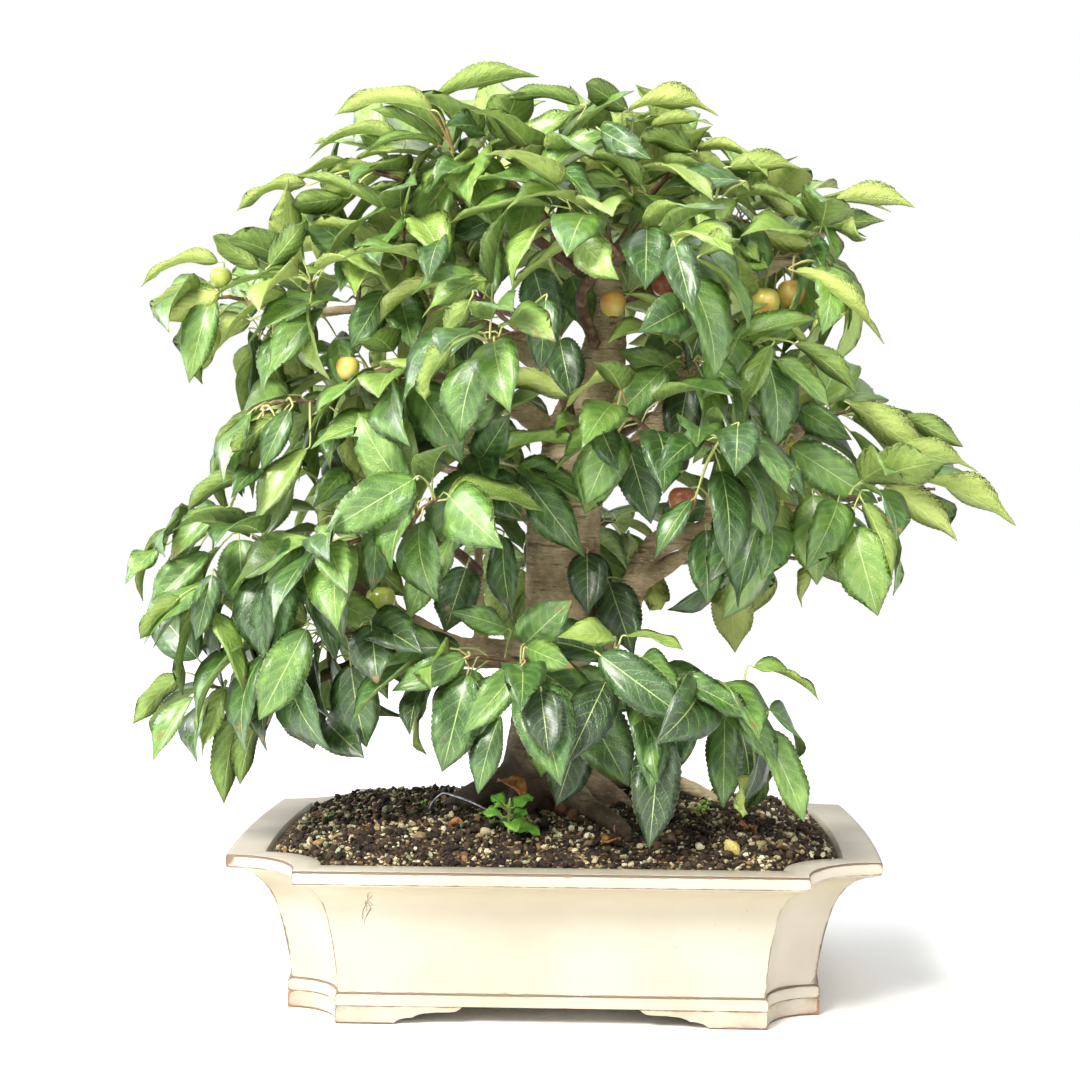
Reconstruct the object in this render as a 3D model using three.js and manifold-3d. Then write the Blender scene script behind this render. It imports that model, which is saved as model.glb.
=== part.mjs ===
// A crabapple bonsai: an old Malus trunk with its branches, leafy stems and fruits,
// planted in gritty soil in a cream-glazed rectangular pot with scooped corners.
// Millimetres, +Z up. The tree faces -Y, where the pot's long front wall is.

import * as THREE from "three";
import { mergeVertices } from "three/addons/utils/BufferGeometryUtils.js";
import Module from "manifold-3d";

const wasm = await Module();
wasm.setup();

// ---------------------------------------------------------------- driving dimensions

const fitGap = 0.35; // clearance between pieces that touch
const snap = 0.002; // every vertex lies on this grid

const pot = {
  halfWidth: 247,
  halfDepth: 190,
  cornerScoop: 60, // radius of the hollow corner at the rim
  scoopTaper: 0.4, // how fast that radius shrinks as the wall comes in
  sideBow: 5, // the short sides swell outwards by this much
  cornerSteps: 3,
  floorUnder: 18,
  floorTop: 28,
  drainRadius: 14,
  drainOffset: 100,
  drainSides: 16,
  // [inset from the rim's outer edge, height], from the ground up
  outerWall: [
    [43, 0],
    [43, 22],
    [45.5, 24],
    [42.5, 50],
    [37, 75],
    [30, 93],
    [19, 106],
    [3, 112],
    [0, 115],
    [0, 122],
    [1.5, 123],
  ],
  innerWall: [
    [28, 122],
    [30, 117],
    [41, 98],
    [51, 60],
    [54, 28],
  ],
  footWall: 12,
  // half of the arch between two feet, as [distance from the middle, height]
  frontArch: [
    [118, -1],
    [116, 2],
    [104, 6],
    [72, 9],
    [66, 14],
  ],
  sideArch: [
    [68, -1],
    [66, 2],
    [56, 6],
    [34, 9],
    [29, 14],
  ],
};

const soilMound = {
  edge: 120, // height where it meets the pot's rim
  rise: 21,
  steepness: 2.6, // power that flattens the top and steepens the edge
  margin: 30, // from the pot's rim to where the mound starts
  shoreInset: 2, // the soil's top edge stays this far inside the wall
  grit: 1.6,
  gritWaves: [
    [0.31, 0.17],
    [-0.12, 0.43],
  ],
  gritFade: 6,
  rings: 3,
  sideSteps: 3,
};

const screen = { half: 23, thick: 1.2, bar: 4, cells: 2 };

const trunkSides = 10;
const trunkSteps = 12;
const trunkUnevenness = 0.05;
const branchSides = 5;
const rootSides = 5;
const rootSteps = 3;
const twigSides = 4;
const twigHeel = 0.8; // a side branch is this much thicker where it leaves the wood
const shootSides = 3;
const shootStart = 2.7; // radius of a young shoot where it leaves its branch
const shootEnd = 2;
const shootArch = 0.08; // height of its crest as a share of its reach

// The trunk and what grew from it in one piece: centre-line points and the radius there.
const trunkLine = [
  [-22, 14, 92, 44],
  [-19, 10, 138, 41],
  [-15, 8, 172, 31],
  [-11, 6, 212, 28],
  [2, 2, 294, 30],
  [6, 0, 391, 30],
  [20, 2, 456, 26],
  [36, 4, 513, 18],
  [38, 6, 566, 13],
  [30, 8, 618, 9],
];

const branchLines = {
  rightLow: [
    [5, 0, 270, 17],
    [40, -6, 283, 14],
    [60, -10, 318, 12],
    [79, -12, 355, 11],
    [120, -14, 369, 9],
    [131, -15, 400, 8],
    [165, -18, 421, 7],
    [194, -20, 451, 5.5],
  ],
  rightFar: [
    [62, -12, 322, 8],
    [91, -25, 341, 6],
    [112, -30, 356, 5],
    [158, -32, 386, 4.2],
    [205, -35, 384, 3.5],
    [253, -38, 393, 2.6],
  ],
  rightHigh: [
    [6, 0, 396, 16],
    [44, -4, 416, 12],
    [84, -6, 459, 10],
    [117, -4, 529, 8],
    [149, -2, 570, 6.5],
    [199, 0, 594, 4.5],
    [214, 2, 611, 3],
  ],
  leftLow: [
    [-3, 4, 262, 18],
    [-45, -8, 265, 13],
    [-82, -15, 270, 11],
    [-124, -26, 294, 9],
    [-165, -42, 322, 6.5],
    [-203, -50, 345, 4.5],
    [-242, -56, 362, 3],
  ],
  leftHanging: [
    [-98, -19, 277, 8],
    [-138, -36, 268, 6.5],
    [-173, -46, 255, 5],
    [-208, -56, 242, 4],
    [-246, -66, 236, 2.8],
  ],
  leftUpright: [
    [-62, -12, 266, 5.5],
    [-64, -15, 340, 4.2],
    [-62, -19, 417, 3.2],
  ],
  leftHigh: [
    [14, 2, 428, 11],
    [-40, -10, 470, 8],
    [-95, -22, 493, 6],
    [-144, -34, 494, 4.5],
    [-192, -46, 468, 3],
  ],
  leftTop: [
    [24, 2, 470, 11],
    [-40, 8, 520, 8.5],
    [-110, 4, 545, 6.5],
    [-170, -6, 545, 5],
    [-215, -14, 541, 4],
    [-254, -20, 551, 3],
  ],
};

const rootLines = [
  [
    [-6, -8, 168, 17],
    [22, -46, 150, 11],
    [54, -92, 136, 7],
    [66, -110, 120, 5],
  ],
  [
    [-20, 0, 168, 18],
    [-58, -4, 150, 15],
    [-84, -2, 139, 10],
    [-104, 0, 118, 6],
  ],
  [
    [-30, 4, 150, 12],
    [-66, -18, 142, 4.5],
    [-98, -34, 136, 3],
    [-110, -40, 122, 2.5],
  ],
  [
    [0, 20, 176, 16],
    [44, 42, 160, 11],
    [96, 58, 152, 7],
    [130, 64, 138, 5.5],
    [146, 68, 118, 4],
  ],
  [
    [0, 6, 168, 18],
    [38, 2, 148, 15],
    [66, -4, 128, 9],
    [80, -6, 112, 6],
  ],
  [
    [-20, 20, 168, 18],
    [-40, 62, 146, 13],
    [-52, 92, 132, 8],
    [-58, 112, 114, 5],
  ],
  [
    [-18, -6, 164, 17],
    [-30, -44, 143, 11],
    [-38, -62, 126, 7],
    [-42, -76, 108, 4],
  ],
];

// Leafy stems: side branches that carry two or three shoots each, or a shoot alone.
// A stem leaves a branch at `at` (0 to 1 along it). A shoot runs to its `tip`.
const stems = [
  { name: "top_left", on: "trunk", at: 0.88,
    line: [[0, -6, 588, 5], [-50, -12, 622, 4], [-102, -14, 642, 2.6]],
    shoots: [{ tip: [-150, -22, 654], leaves: 4 }, { at: 0.62, tip: [-82, -62, 662], leaves: 4 },
      { at: 0.75, tip: [-92, 40, 660], leaves: 4 }] },
  { name: "top_front", on: "trunk", at: 0.94,
    line: [[10, -18, 590, 5], [-20, -34, 626, 3.6], [-40, -42, 644, 2.6]],
    shoots: [{ tip: [-58, -50, 662], leaves: 4 }, { at: 0.5, tip: [-8, -88, 638], leaves: 4 }] },
  { name: "top_right", on: "trunk", at: 0.97,
    line: [[46, -4, 596, 4.6], [64, -12, 622, 3.6], [74, -16, 638, 2.6]],
    shoots: [{ tip: [92, -26, 656], leaves: 4 }, { at: 0.45, tip: [54, -76, 640], leaves: 4 }] },
  { name: "top_far_right", on: "trunk", at: 0.86,
    line: [[80, 12, 566, 4.8], [120, 18, 592, 3.8], [150, 20, 610, 2.6]],
    shoots: [{ tip: [186, 14, 626], leaves: 4 }, { at: 0.6, tip: [122, -48, 622], leaves: 4 },
      { at: 0.8, tip: [142, 72, 626], leaves: 4 }] },
  { name: "top_back", on: "trunk", at: 1,
    line: [[22, 36, 598, 4.8], [6, 74, 618, 3.6], [-4, 96, 630, 2.6]],
    shoots: [{ tip: [-18, 134, 636], leaves: 4 }, { at: 0.5, tip: [62, 76, 646], leaves: 4 },
      { at: 0.15, tip: [16, 26, 658], leaves: 4 }] },
  { name: "back_high", on: "trunk", at: 0.8,
    line: [[32, 66, 582, 5], [24, 120, 602, 3.8], [18, 150, 610, 2.6]],
    shoots: [{ tip: [10, 198, 618], leaves: 4 }, { at: 0.6, tip: [88, 138, 616], leaves: 4 }] },
  { name: "back_left_high", on: "leftTop", at: 0.12,
    line: [[-20, 74, 540, 5], [-64, 122, 560, 3.8], [-88, 140, 566, 2.6]],
    shoots: [{ tip: [-128, 172, 574], leaves: 4 }, { at: 0.55, tip: [-92, 92, 620], leaves: 4 }] },
  { name: "front_high", on: "trunk", at: 0.76,
    line: [[18, -50, 552, 5], [42, -100, 572, 3.8], [56, -126, 574, 2.6]],
    shoots: [{ tip: [84, -176, 566], leaves: 4 }, { at: 0.62, tip: [10, -142, 606], leaves: 4 }] },
  { name: "front_middle", on: "trunk", at: 0.62,
    line: [[2, -62, 486, 5], [-20, -108, 512, 3.8], [-30, -128, 516, 2.6]],
    shoots: [{ tip: [-48, -180, 506], leaves: 4 }, { at: 0.55, tip: [-86, -120, 556], leaves: 4 }] },
  { name: "front_right", on: "rightHigh", at: 0.2,
    line: [[62, -58, 434, 4.6], [88, -98, 440, 3.6], [98, -116, 440, 2.6]],
    shoots: [{ tip: [118, -160, 432], leaves: 4 }, { at: 0.4, tip: [46, -118, 460], leaves: 4 }] },
  { name: "front_left", on: "leftUpright", at: 0.45,
    line: [[-82, -60, 352, 4], [-112, -98, 364, 3.2], [-128, -112, 366, 2.4]],
    shoots: [{ tip: [-164, -142, 356], leaves: 4 }, { at: 0.55, tip: [-84, -148, 394], leaves: 4 }] },
  { name: "low_centre", on: "trunk", at: 0.4,
    line: [[-20, -52, 262, 5], [-32, -92, 268, 3.8], [-30, -112, 268, 2.6]],
    shoots: [{ tip: [-22, -150, 266], leaves: 4 }, { at: 0.6, tip: [-82, -128, 268], leaves: 4 }] },
  { name: "low_right", on: "trunk", at: 0.36,
    line: [[26, -56, 242, 5], [60, -92, 246, 3.8], [92, -106, 244, 3], [118, -108, 240, 2.4]],
    shoots: [{ tip: [148, -110, 232], leaves: 4 }, { at: 0.42, tip: [44, -140, 262], leaves: 4 },
      { at: 0.72, tip: [108, -138, 250], leaves: 4 }] },
  { name: "back_left", on: "trunk", at: 0.5,
    line: [[-50, 70, 398, 5.4], [-105, 126, 418, 3.8], [-136, 150, 422, 2.6]],
    shoots: [{ tip: [-184, 178, 420], leaves: 4 }, { at: 0.55, tip: [-78, 158, 468], leaves: 4 }] },
  { name: "back_right", on: "trunk", at: 0.6,
    line: [[64, 66, 456, 5.4], [112, 116, 472, 3.8], [140, 144, 474, 2.6]],
    shoots: [{ tip: [184, 176, 476], leaves: 4 }, { at: 0.5, tip: [120, 76, 530], leaves: 4 }] },
  { name: "back_low", on: "trunk", at: 0.42,
    line: [[-12, 74, 316, 5.2], [-22, 138, 336, 3.8], [-26, 176, 336, 2.6]],
    shoots: [{ tip: [-30, 228, 326], leaves: 4 }, { at: 0.6, tip: [48, 172, 372], leaves: 4 }] },
  { name: "back_low_right", on: "rightLow", at: 0.3,
    line: [[92, 46, 342, 4.6], [136, 90, 350, 3.6], [158, 106, 348, 2.6]],
    shoots: [{ tip: [206, 134, 340], leaves: 4 }, { at: 0.5, tip: [152, 44, 384], leaves: 4 }] },
  { name: "crown_left_front", on: "leftTop", at: 0.45, shoots: [{ tip: [-122, -56, 608], leaves: 5 }] },
  { name: "crown_left_back", on: "leftTop", at: 0.58, shoots: [{ tip: [-166, 48, 608], leaves: 5 }] },
  { name: "shoulder_front", on: "leftTop", at: 0.72, shoots: [{ tip: [-192, -76, 560], leaves: 5 }] },
  { name: "shoulder_tip", on: "leftTop", at: 1, shoots: [{ tip: [-278, -26, 552], leaves: 5 }] },
  { name: "shoulder_back", on: "leftTop", at: 0.86, shoots: [{ tip: [-254, 42, 526], leaves: 5 }] },
  { name: "crown_right_tip", on: "rightHigh", at: 1, shoots: [{ tip: [242, -4, 620], leaves: 5 }] },
  { name: "crown_right_front", on: "rightHigh", at: 0.84, shoots: [{ tip: [206, -62, 576], leaves: 5 }] },
  { name: "crown_right_back", on: "rightHigh", at: 0.72, shoots: [{ tip: [186, 64, 590], leaves: 5 }] },
  { name: "right_inner", on: "rightHigh", at: 0.42, shoots: [{ tip: [106, -74, 500], leaves: 5 }] },
  { name: "right_upper_front", on: "rightHigh", at: 0.55, shoots: [{ tip: [150, -86, 512], leaves: 5 }] },
  { name: "right_stub_tip", on: "rightLow", at: 0.97, shoots: [{ tip: [234, -34, 464], leaves: 5 }] },
  { name: "right_stub_back", on: "rightLow", at: 0.8, shoots: [{ tip: [176, 48, 446], leaves: 5 }] },
  { name: "right_far_tip", on: "rightFar", at: 1, shoots: [{ tip: [298, -44, 402], leaves: 5 }] },
  { name: "right_far_front", on: "rightFar", at: 0.82, shoots: [{ tip: [232, -88, 396], leaves: 5 }] },
  { name: "right_hanging", on: "rightFar", at: 0.58, shoots: [{ tip: [158, -84, 372], leaves: 5 }] },
  { name: "left_high_tip", on: "leftHigh", at: 1, shoots: [{ tip: [-232, -58, 464], leaves: 5 }] },
  { name: "left_high_front", on: "leftHigh", at: 0.62, shoots: [{ tip: [-122, -96, 478], leaves: 5 }] },
  { name: "left_high_back", on: "leftHigh", at: 0.76, shoots: [{ tip: [-178, 34, 480], leaves: 5 }] },
  { name: "upright_tip", on: "leftUpright", at: 1, shoots: [{ tip: [-72, -42, 436], leaves: 5 }] },
  { name: "left_low_tip", on: "leftLow", at: 1, shoots: [{ tip: [-280, -64, 372], leaves: 5 }] },
  { name: "left_low_front", on: "leftLow", at: 0.8,
    line: [[-196, -80, 346, 4], [-206, -98, 350, 3]],
    shoots: [{ tip: [-222, -128, 352], leaves: 5 }, { at: 0.45, tip: [-258, -96, 322], leaves: 4 }] },
  { name: "left_low_back", on: "leftLow", at: 0.66, shoots: [{ tip: [-186, 26, 386], leaves: 5 }] },
  { name: "hanging_tip", on: "leftHanging", at: 1, shoots: [{ tip: [-272, -76, 244], leaves: 5 }] },
  { name: "hanging_front", on: "leftHanging", at: 0.68,
    line: [[-194, -78, 266, 3.6], [-198, -94, 276, 3]],
    shoots: [{ tip: [-206, -118, 286], leaves: 5 }, { at: 0.5, tip: [-150, -112, 290], leaves: 4 }] },
  { name: "hanging_back", on: "leftHanging", at: 0.55, shoots: [{ tip: [-192, 14, 290], leaves: 5 }] },
];

const leaf = {
  length: 62,
  lengthSpread: 20,
  slimness: 0.5, // width as a share of the length
  petiole: 15,
  petioleSpread: 12,
  petioleRadius: 0.8,
  halfThick: 0.7, // at the midrib; the blade thins towards its edge
  ruffle: 2.2,
  attempts: 40, // poses tried before a leaf that won't fit is left off
  goldenAngle: 2.39996, // turn from one leaf of a shoot to the next, in radians
  firstAt: 0.27, // place of the shoot's foot end of the leaves, as a share of its length
  spanAlong: 0.7,
  // shares of each direction in a leaf's heading
  side: { along: 0.45, aside: 0.85, away: 0.4 },
  end: { along: 0.9, aside: 0.3, away: 0.4 },
  fall: { low: 0.6, less: 0.4, spread: 0.4, from: 200, over: 480 }, // low leaves droop more
  turn: { spread: 0.5, perAttempt: 0.12 },
  stalkRise: 0.35,
  face: { up: 0.85, away: 0.6, spread: 0.7 },
  slimSpread: 0.1,
  bend: { least: 0.45, spread: 0.75 },
  fold: { least: 0.12, spread: 0.36 },
  ruffleLeast: 0.6,
  outline: { rise: 0.6, fall: 0.9 }, // powers of the blade's outline from its foot and its tip
  skew: 0.035, // the two edges are out of step by this much
  // places along the midrib where the edge is cut, with how far it waves there
  stations: {
    fine: [
      [0.22, 0.5],
      [0.52, -1],
      [0.79, 0.8],
    ],
    plain: [
      [0.27, 0.6],
      [0.66, -0.9],
    ],
  },
  plainBehind: -165, // blades that start further back than this y are the plain ones
};

const shootSeedStep = 7;
const leafSeed = { shoot: 9973, leaf: 331, attempt: 17 };

// The middle of the crown, which the leaves face away from, and the outline that they keep
// to as it is seen from the eye: [x, z] on the plane y = 0, clockwise from the top.
const crown = {
  x: 10,
  z: 420,
  depthShare: 1.1,
  heightShare: 0.7,
  eye: [37.3, -1546.6, 400.7],
  outline: [
    [-46, 746], [-13, 735], [31, 735], [64, 727], [90, 730], [130, 711], [147, 675], [193, 670],
    [200, 646], [234, 645], [262, 656], [292, 629], [252, 600], [225, 603], [231, 577], [266, 517],
    [235, 534], [216, 537], [224, 514], [248, 487], [286, 476], [323, 450], [344, 416], [375, 373],
    [332, 377], [324, 358], [292, 377], [275, 369], [276, 299], [247, 302], [228, 324], [202, 301],
    [190, 350], [177, 356], [177, 317], [145, 263], [127, 288], [129, 307], [121, 301], [103, 330],
    [93, 300], [69, 300], [67, 282], [105, 278], [105, 265], [149, 262], [219, 230], [182, 216],
    [210, 172], [202, 128], [176, 156], [164, 133], [127, 140], [117, 180], [94, 145], [77, 100],
    [57, 144], [34, 157], [19, 144], [-7, 139], [-16, 168], [-37, 183], [-60, 145], [-78, 171],
    [-96, 164], [-119, 194], [-132, 226], [-154, 213], [-157, 175], [-187, 166], [-211, 179],
    [-235, 192], [-243, 169], [-273, 134], [-298, 175], [-304, 206], [-332, 170], [-342, 191],
    [-354, 201], [-354, 231], [-301, 254], [-346, 272], [-342, 297], [-359, 318], [-342, 346],
    [-318, 371], [-306, 391], [-285, 419], [-281, 435], [-262, 460], [-265, 485], [-263, 519],
    [-291, 481], [-323, 520], [-333, 533], [-331, 560], [-347, 566], [-328, 584], [-283, 587],
    [-288, 607], [-254, 612], [-224, 625], [-268, 626], [-224, 653], [-208, 690], [-177, 701],
    [-187, 709], [-147, 725], [-105, 719], [-76, 737],
  ],
};

const fruits = [
  { on: "leftTop", at: 0.93, centre: [-268, -46, 566], radius: 9, colour: "green" },
  { on: "leftTop", at: 0.97, centre: [-280, -40, 520], radius: 11, colour: "green" },
  { on: "leftLow", at: 0.5, centre: [-138, -62, 312], radius: 12, colour: "green" },
  { on: "rightHigh", at: 0.74, centre: [162, -44, 548], radius: 12.5, colour: "blush" },
  { on: "rightHigh", at: 0.8, centre: [184, -34, 556], radius: 11.5, colour: "blush" },
  { on: "trunk", at: 0.79, centre: [43, -34, 548], radius: 10.5, colour: "blush" },
  { on: "trunk", at: 0.83, centre: [84, -14, 566], radius: 10.5, colour: "red" },
  { on: "rightLow", at: 0.66, centre: [99, -42, 392], radius: 11.5, colour: "red" },
  { on: "leftHigh", at: 0.78, centre: [-164, -66, 494], radius: 9.5, colour: "blush" },
  { on: "rightLow", at: 0.9, centre: [188, -46, 430], radius: 9.5, colour: "blush" },
];

// [radius, height] from the dried calyx at the bottom to the dimple at the stalk, as
// shares of the fruit's own radius
const fruitProfile = [
  [0, -1.12],
  [0.8, -0.62],
  [0.98, 0.2],
  [0.45, 0.86],
  [0, 0.78],
];
const fruitSides = 7;
const fruitStalk = { radius: 0.9, arch: 7, from: 0.85, sunk: 3 };

const anchorWire = {
  radius: 1.25,
  sides: 4,
  steps: 24,
  route: [
    [-30, -76, 118],
    [-36, -82, 140],
    [-58, -64, 150],
    [-80, -40, 154],
    [-94, -22, 152],
    [-104, -20, 132],
    [-96, 2, 80],
    [-94, 7, 42],
    [-94, 7, 26],
    [-92, 7, 16.4],
    [-82, 7, 15],
    [0, 7, 15],
    [82, 7, 15],
    [92, 7, 16.4],
    [94, 7, 26],
    [94, 7, 42],
    [93, 7, 78],
  ],
};

const seedling = {
  foot: [-34, -104],
  bottom: 122,
  crown: 150,
  leaves: 4,
  leafLength: 24,
  leafWidth: 16.8,
  stalk: 7,
  stemStart: 1.3,
  stemEnd: 1.1,
  overCrown: 5,
  leafStep: 1.5, // each leaf leaves the stem this much higher
  rise: { least: 0.35, more: 0.12 },
  bend: 0.8,
  fold: 0.15,
  ruffle: 1.2,
};

// ---------------------------------------------------------------- materials

const finish = {
  glaze: { color: 0xf1ead2, roughness: 0.28 },
  soil: { color: 0x33271d, roughness: 0.95 },
  bark: { color: 0x8a7355, roughness: 0.85 },
  leaf: { color: 0x3a6f38, roughness: 0.42 },
  youngLeaf: { color: 0x5fae3a, roughness: 0.45 },
  greenFruit: { color: 0x9aa648, roughness: 0.35 },
  blushFruit: { color: 0xd9a24a, roughness: 0.35 },
  redFruit: { color: 0x8e4a32, roughness: 0.35 },
  wire: { color: 0x6d7377, roughness: 0.45, metalness: 0.9 },
  plastic: { color: 0x22262a, roughness: 0.6 },
};
const materials = Object.fromEntries(
  Object.entries(finish).map(([name, look]) => [name, new THREE.MeshStandardMaterial({ name, ...look })]),
);

// ---------------------------------------------------------------- solids

const up = new THREE.Vector3(0, 0, 1);
const vec = (p) => new THREE.Vector3(p[0], p[1], p[2]);

function solidFromTriangles(points) {
  const geometry = new THREE.BufferGeometry().setFromPoints(points);
  return solidFromGeometry(geometry);
}

function solidFromGeometry(geometry) {
  const loose = geometry.index ? geometry.toNonIndexed() : geometry;
  const bare = new THREE.BufferGeometry().setAttribute("position", loose.getAttribute("position"));
  const merged = mergeVertices(bare, 1e-4);
  return new wasm.Manifold(
    new wasm.Mesh({
      numProp: 3,
      vertProperties: merged.attributes.position.array,
      triVerts: new Uint32Array(merged.index.array),
    }),
  );
}

const snapped = (value) => Math.round(value / snap) * snap;

// The solid's surface with its vertices on the snap grid, and the slivers that close up dropped.
function geometryFromSolid(solid) {
  const mesh = solid.getMesh();
  const raw = new THREE.BufferGeometry();
  raw.setAttribute("position", new THREE.BufferAttribute(mesh.vertProperties.map(snapped), 3));
  raw.setIndex(new THREE.BufferAttribute(mesh.triVerts, 1));
  const geometry = mergeVertices(raw, snap / 2);
  const corners = geometry.index.array;
  const kept = [];
  for (let i = 0; i < corners.length; i += 3) {
    const [a, b, c] = corners.subarray(i, i + 3);
    if (a !== b && b !== c && c !== a) kept.push(a, b, c);
  }
  geometry.setIndex(kept);
  geometry.computeVertexNormals();
  return geometry;
}

const joined = (solids) => solids.reduce((whole, next) => whole.add(next));

// Skins a list of rings that all hold the same number of points. A ring turns
// anticlockwise seen from the ring after it. `diagonal` picks how a quad is split.
function skin(rings, { centreCaps = false, diagonal = () => true } = {}) {
  const points = [];
  const triangle = (a, b, c) => {
    if (a.equals(b) || b.equals(c) || c.equals(a)) return;
    points.push(a, b, c);
  };
  const count = rings[0].length;
  for (let i = 0; i + 1 < rings.length; i++) {
    for (let j = 0; j < count; j++) {
      const k = (j + 1) % count;
      const [a, b, c, d] = [rings[i][j], rings[i][k], rings[i + 1][k], rings[i + 1][j]];
      if (diagonal(j)) {
        triangle(a, b, c);
        triangle(a, c, d);
      } else {
        triangle(a, b, d);
        triangle(b, c, d);
      }
    }
  }
  const cap = (ring, turned) => {
    const middle = ring.reduce((sum, point) => sum.add(point), new THREE.Vector3());
    const hub = centreCaps ? middle.divideScalar(count) : ring[0];
    const [first, end] = centreCaps ? [0, count] : [1, count - 1];
    for (let j = first; j < end; j++) {
      const next = ring[(j + 1) % count];
      if (turned) triangle(hub, next, ring[j]);
      else triangle(hub, ring[j], next);
    }
  };
  cap(rings[0], true);
  cap(rings[rings.length - 1], false);
  return solidFromTriangles(points);
}

// Uniform Catmull-Rom curve through [x, y, z, radius] rows.
function rowAt(rows, t) {
  const place = (rows.length - 1) * Math.min(Math.max(t, 0), 1);
  const i = Math.min(Math.floor(place), rows.length - 2);
  const w = place - i;
  const at = (k, n) => {
    if (k < 0) return 2 * rows[0][n] - rows[1][n];
    if (k >= rows.length) return 2 * rows[rows.length - 1][n] - rows[rows.length - 2][n];
    return rows[k][n];
  };
  const value = (n) => {
    const [a, b, c, d] = [at(i - 1, n), at(i, n), at(i + 1, n), at(i + 2, n)];
    const slopeIn = (c - a) / 2;
    const slopeOut = (d - b) / 2;
    const cubic = 2 * (b - c) + slopeIn + slopeOut;
    const square = 3 * (c - b) - 2 * slopeIn - slopeOut;
    return ((cubic * w + square) * w + slopeIn) * w + b;
  };
  return [value(0), value(1), value(2), value(3)];
}

const tangentStep = 0.01;
const steep = 0.8; // a tube that starts steeper than this is framed from the x axis

// A round, tapering wood tube along rows of [x, y, z, radius]. `grow` swells it all round.
function woodTube(rows, sides, steps, grow = 0, unevenness = 0) {
  const rings = [];
  let across = null;
  for (let i = 0; i <= steps; i++) {
    const t = i / steps;
    const here = rowAt(rows, t);
    const before = vec(rowAt(rows, Math.max(t - tangentStep, 0)));
    const along = vec(rowAt(rows, Math.min(t + tangentStep, 1))).sub(before).normalize();
    const hint = across || (Math.abs(along.z) > steep ? new THREE.Vector3(1, 0, 0) : up.clone());
    across = hint.clone().addScaledVector(along, -hint.dot(along)).normalize();
    const beside = new THREE.Vector3().crossVectors(along, across);
    const overrun = { 0: -grow, [steps]: grow }[i] || 0;
    const centre = vec(here).addScaledVector(along, overrun);
    const ring = [];
    for (let j = 0; j < sides; j++) {
      const angle = (2 * Math.PI * j) / sides;
      const lump = 1 + unevenness * Math.sin(3 * angle + 5 * t) + unevenness * Math.sin(2 * angle - 11 * t);
      const radius = here[3] * lump + grow;
      ring.push(
        centre
          .clone()
          .addScaledVector(across, radius * Math.cos(angle))
          .addScaledVector(beside, radius * Math.sin(angle)),
      );
    }
    rings.push(ring);
  }
  return skin(rings);
}

// ---------------------------------------------------------------- pot, soil and what lies in it

// The pot's plan: straight long sides, slightly bowed short sides, scooped corners.
function potOutline(inset, z, longSideSteps = 1) {
  const a = pot.halfWidth - inset;
  const b = pot.halfDepth - inset;
  const scoop = pot.cornerScoop - pot.scoopTaper * inset;
  const ring = [];
  const corner = (sx, sy, from) => {
    for (let i = 0; i <= pot.cornerSteps; i++) {
      const angle = from - (Math.PI / 2) * (i / pot.cornerSteps);
      ring.push(new THREE.Vector3(sx * a + scoop * Math.cos(angle), sy * b + scoop * Math.sin(angle), z));
    }
  };
  const side = (x0, y0, x1, y1, bow, steps) => {
    for (let i = 1; i < steps; i++) {
      const t = i / steps;
      ring.push(new THREE.Vector3(x0 + (x1 - x0) * t + bow * 4 * t * (1 - t), y0 + (y1 - y0) * t, z));
    }
  };
  corner(-1, -1, Math.PI / 2);
  side(-(a - scoop), -b, a - scoop, -b, 0, longSideSteps);
  corner(1, -1, Math.PI);
  side(a, -(b - scoop), a, b - scoop, pot.sideBow, 2);
  corner(1, 1, -Math.PI / 2);
  side(a - scoop, b, -(a - scoop), b, 0, longSideSteps);
  corner(-1, 1, 0);
  side(-a, b - scoop, -a, -(b - scoop), -pot.sideBow, 2);
  return ring;
}

function extruded(outline, length, place) {
  const shape = new THREE.Shape(outline.map(([x, y]) => new THREE.Vector2(x, y)));
  const geometry = new THREE.ExtrudeGeometry(shape, { depth: length, bevelEnabled: false });
  geometry.translate(0, 0, -length / 2);
  place(geometry);
  return solidFromGeometry(geometry);
}

function drainHole(side) {
  const depth = 2 * pot.floorTop; // more than the floor's thickness
  const geometry = new THREE.CylinderGeometry(pot.drainRadius, pot.drainRadius, depth, pot.drainSides);
  geometry.rotateX(Math.PI / 2);
  geometry.translate(side * pot.drainOffset, 0, pot.floorTop);
  return solidFromGeometry(geometry);
}

function makePot() {
  const underside = pot.outerWall[0][0] + pot.footWall;
  const rings = [potOutline(underside, pot.floorUnder), potOutline(underside, 0)];
  pot.outerWall.forEach(([inset, z]) => rings.push(potOutline(inset, z)));
  pot.innerWall.forEach(([inset, z]) => rings.push(potOutline(inset, z)));
  const shell = skin(rings, { centreCaps: true });
  const mirrored = (half) => [...half, ...half.map(([x, z]) => [-x, z]).reverse()];
  const frontArch = extruded(mirrored(pot.frontArch), 2 * pot.halfDepth, (g) => g.rotateX(Math.PI / 2));
  const sideArch = extruded(mirrored(pot.sideArch), 2 * pot.halfWidth, (g) => {
    g.rotateX(Math.PI / 2);
    g.rotateZ(Math.PI / 2);
  });
  const openings = [frontArch, sideArch, drainHole(-1), drainHole(1)];
  return openings.reduce((left, opening) => left.subtract(opening), shell);
}

function soilHeight(x, y) {
  const { edge, rise, steepness, margin, grit, gritWaves, gritFade } = soilMound;
  const shareX = Math.abs(x) / (pot.halfWidth - margin);
  const shareY = Math.abs(y) / (pot.halfDepth - margin);
  const reach = Math.min(Math.max(shareX, shareY), 1);
  const waves = gritWaves.reduce((sum, [kx, ky]) => sum + Math.sin(x * kx + y * ky), 0);
  return edge + rise * (1 - reach ** steepness) + grit * waves * (1 - reach ** gritFade);
}

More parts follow.
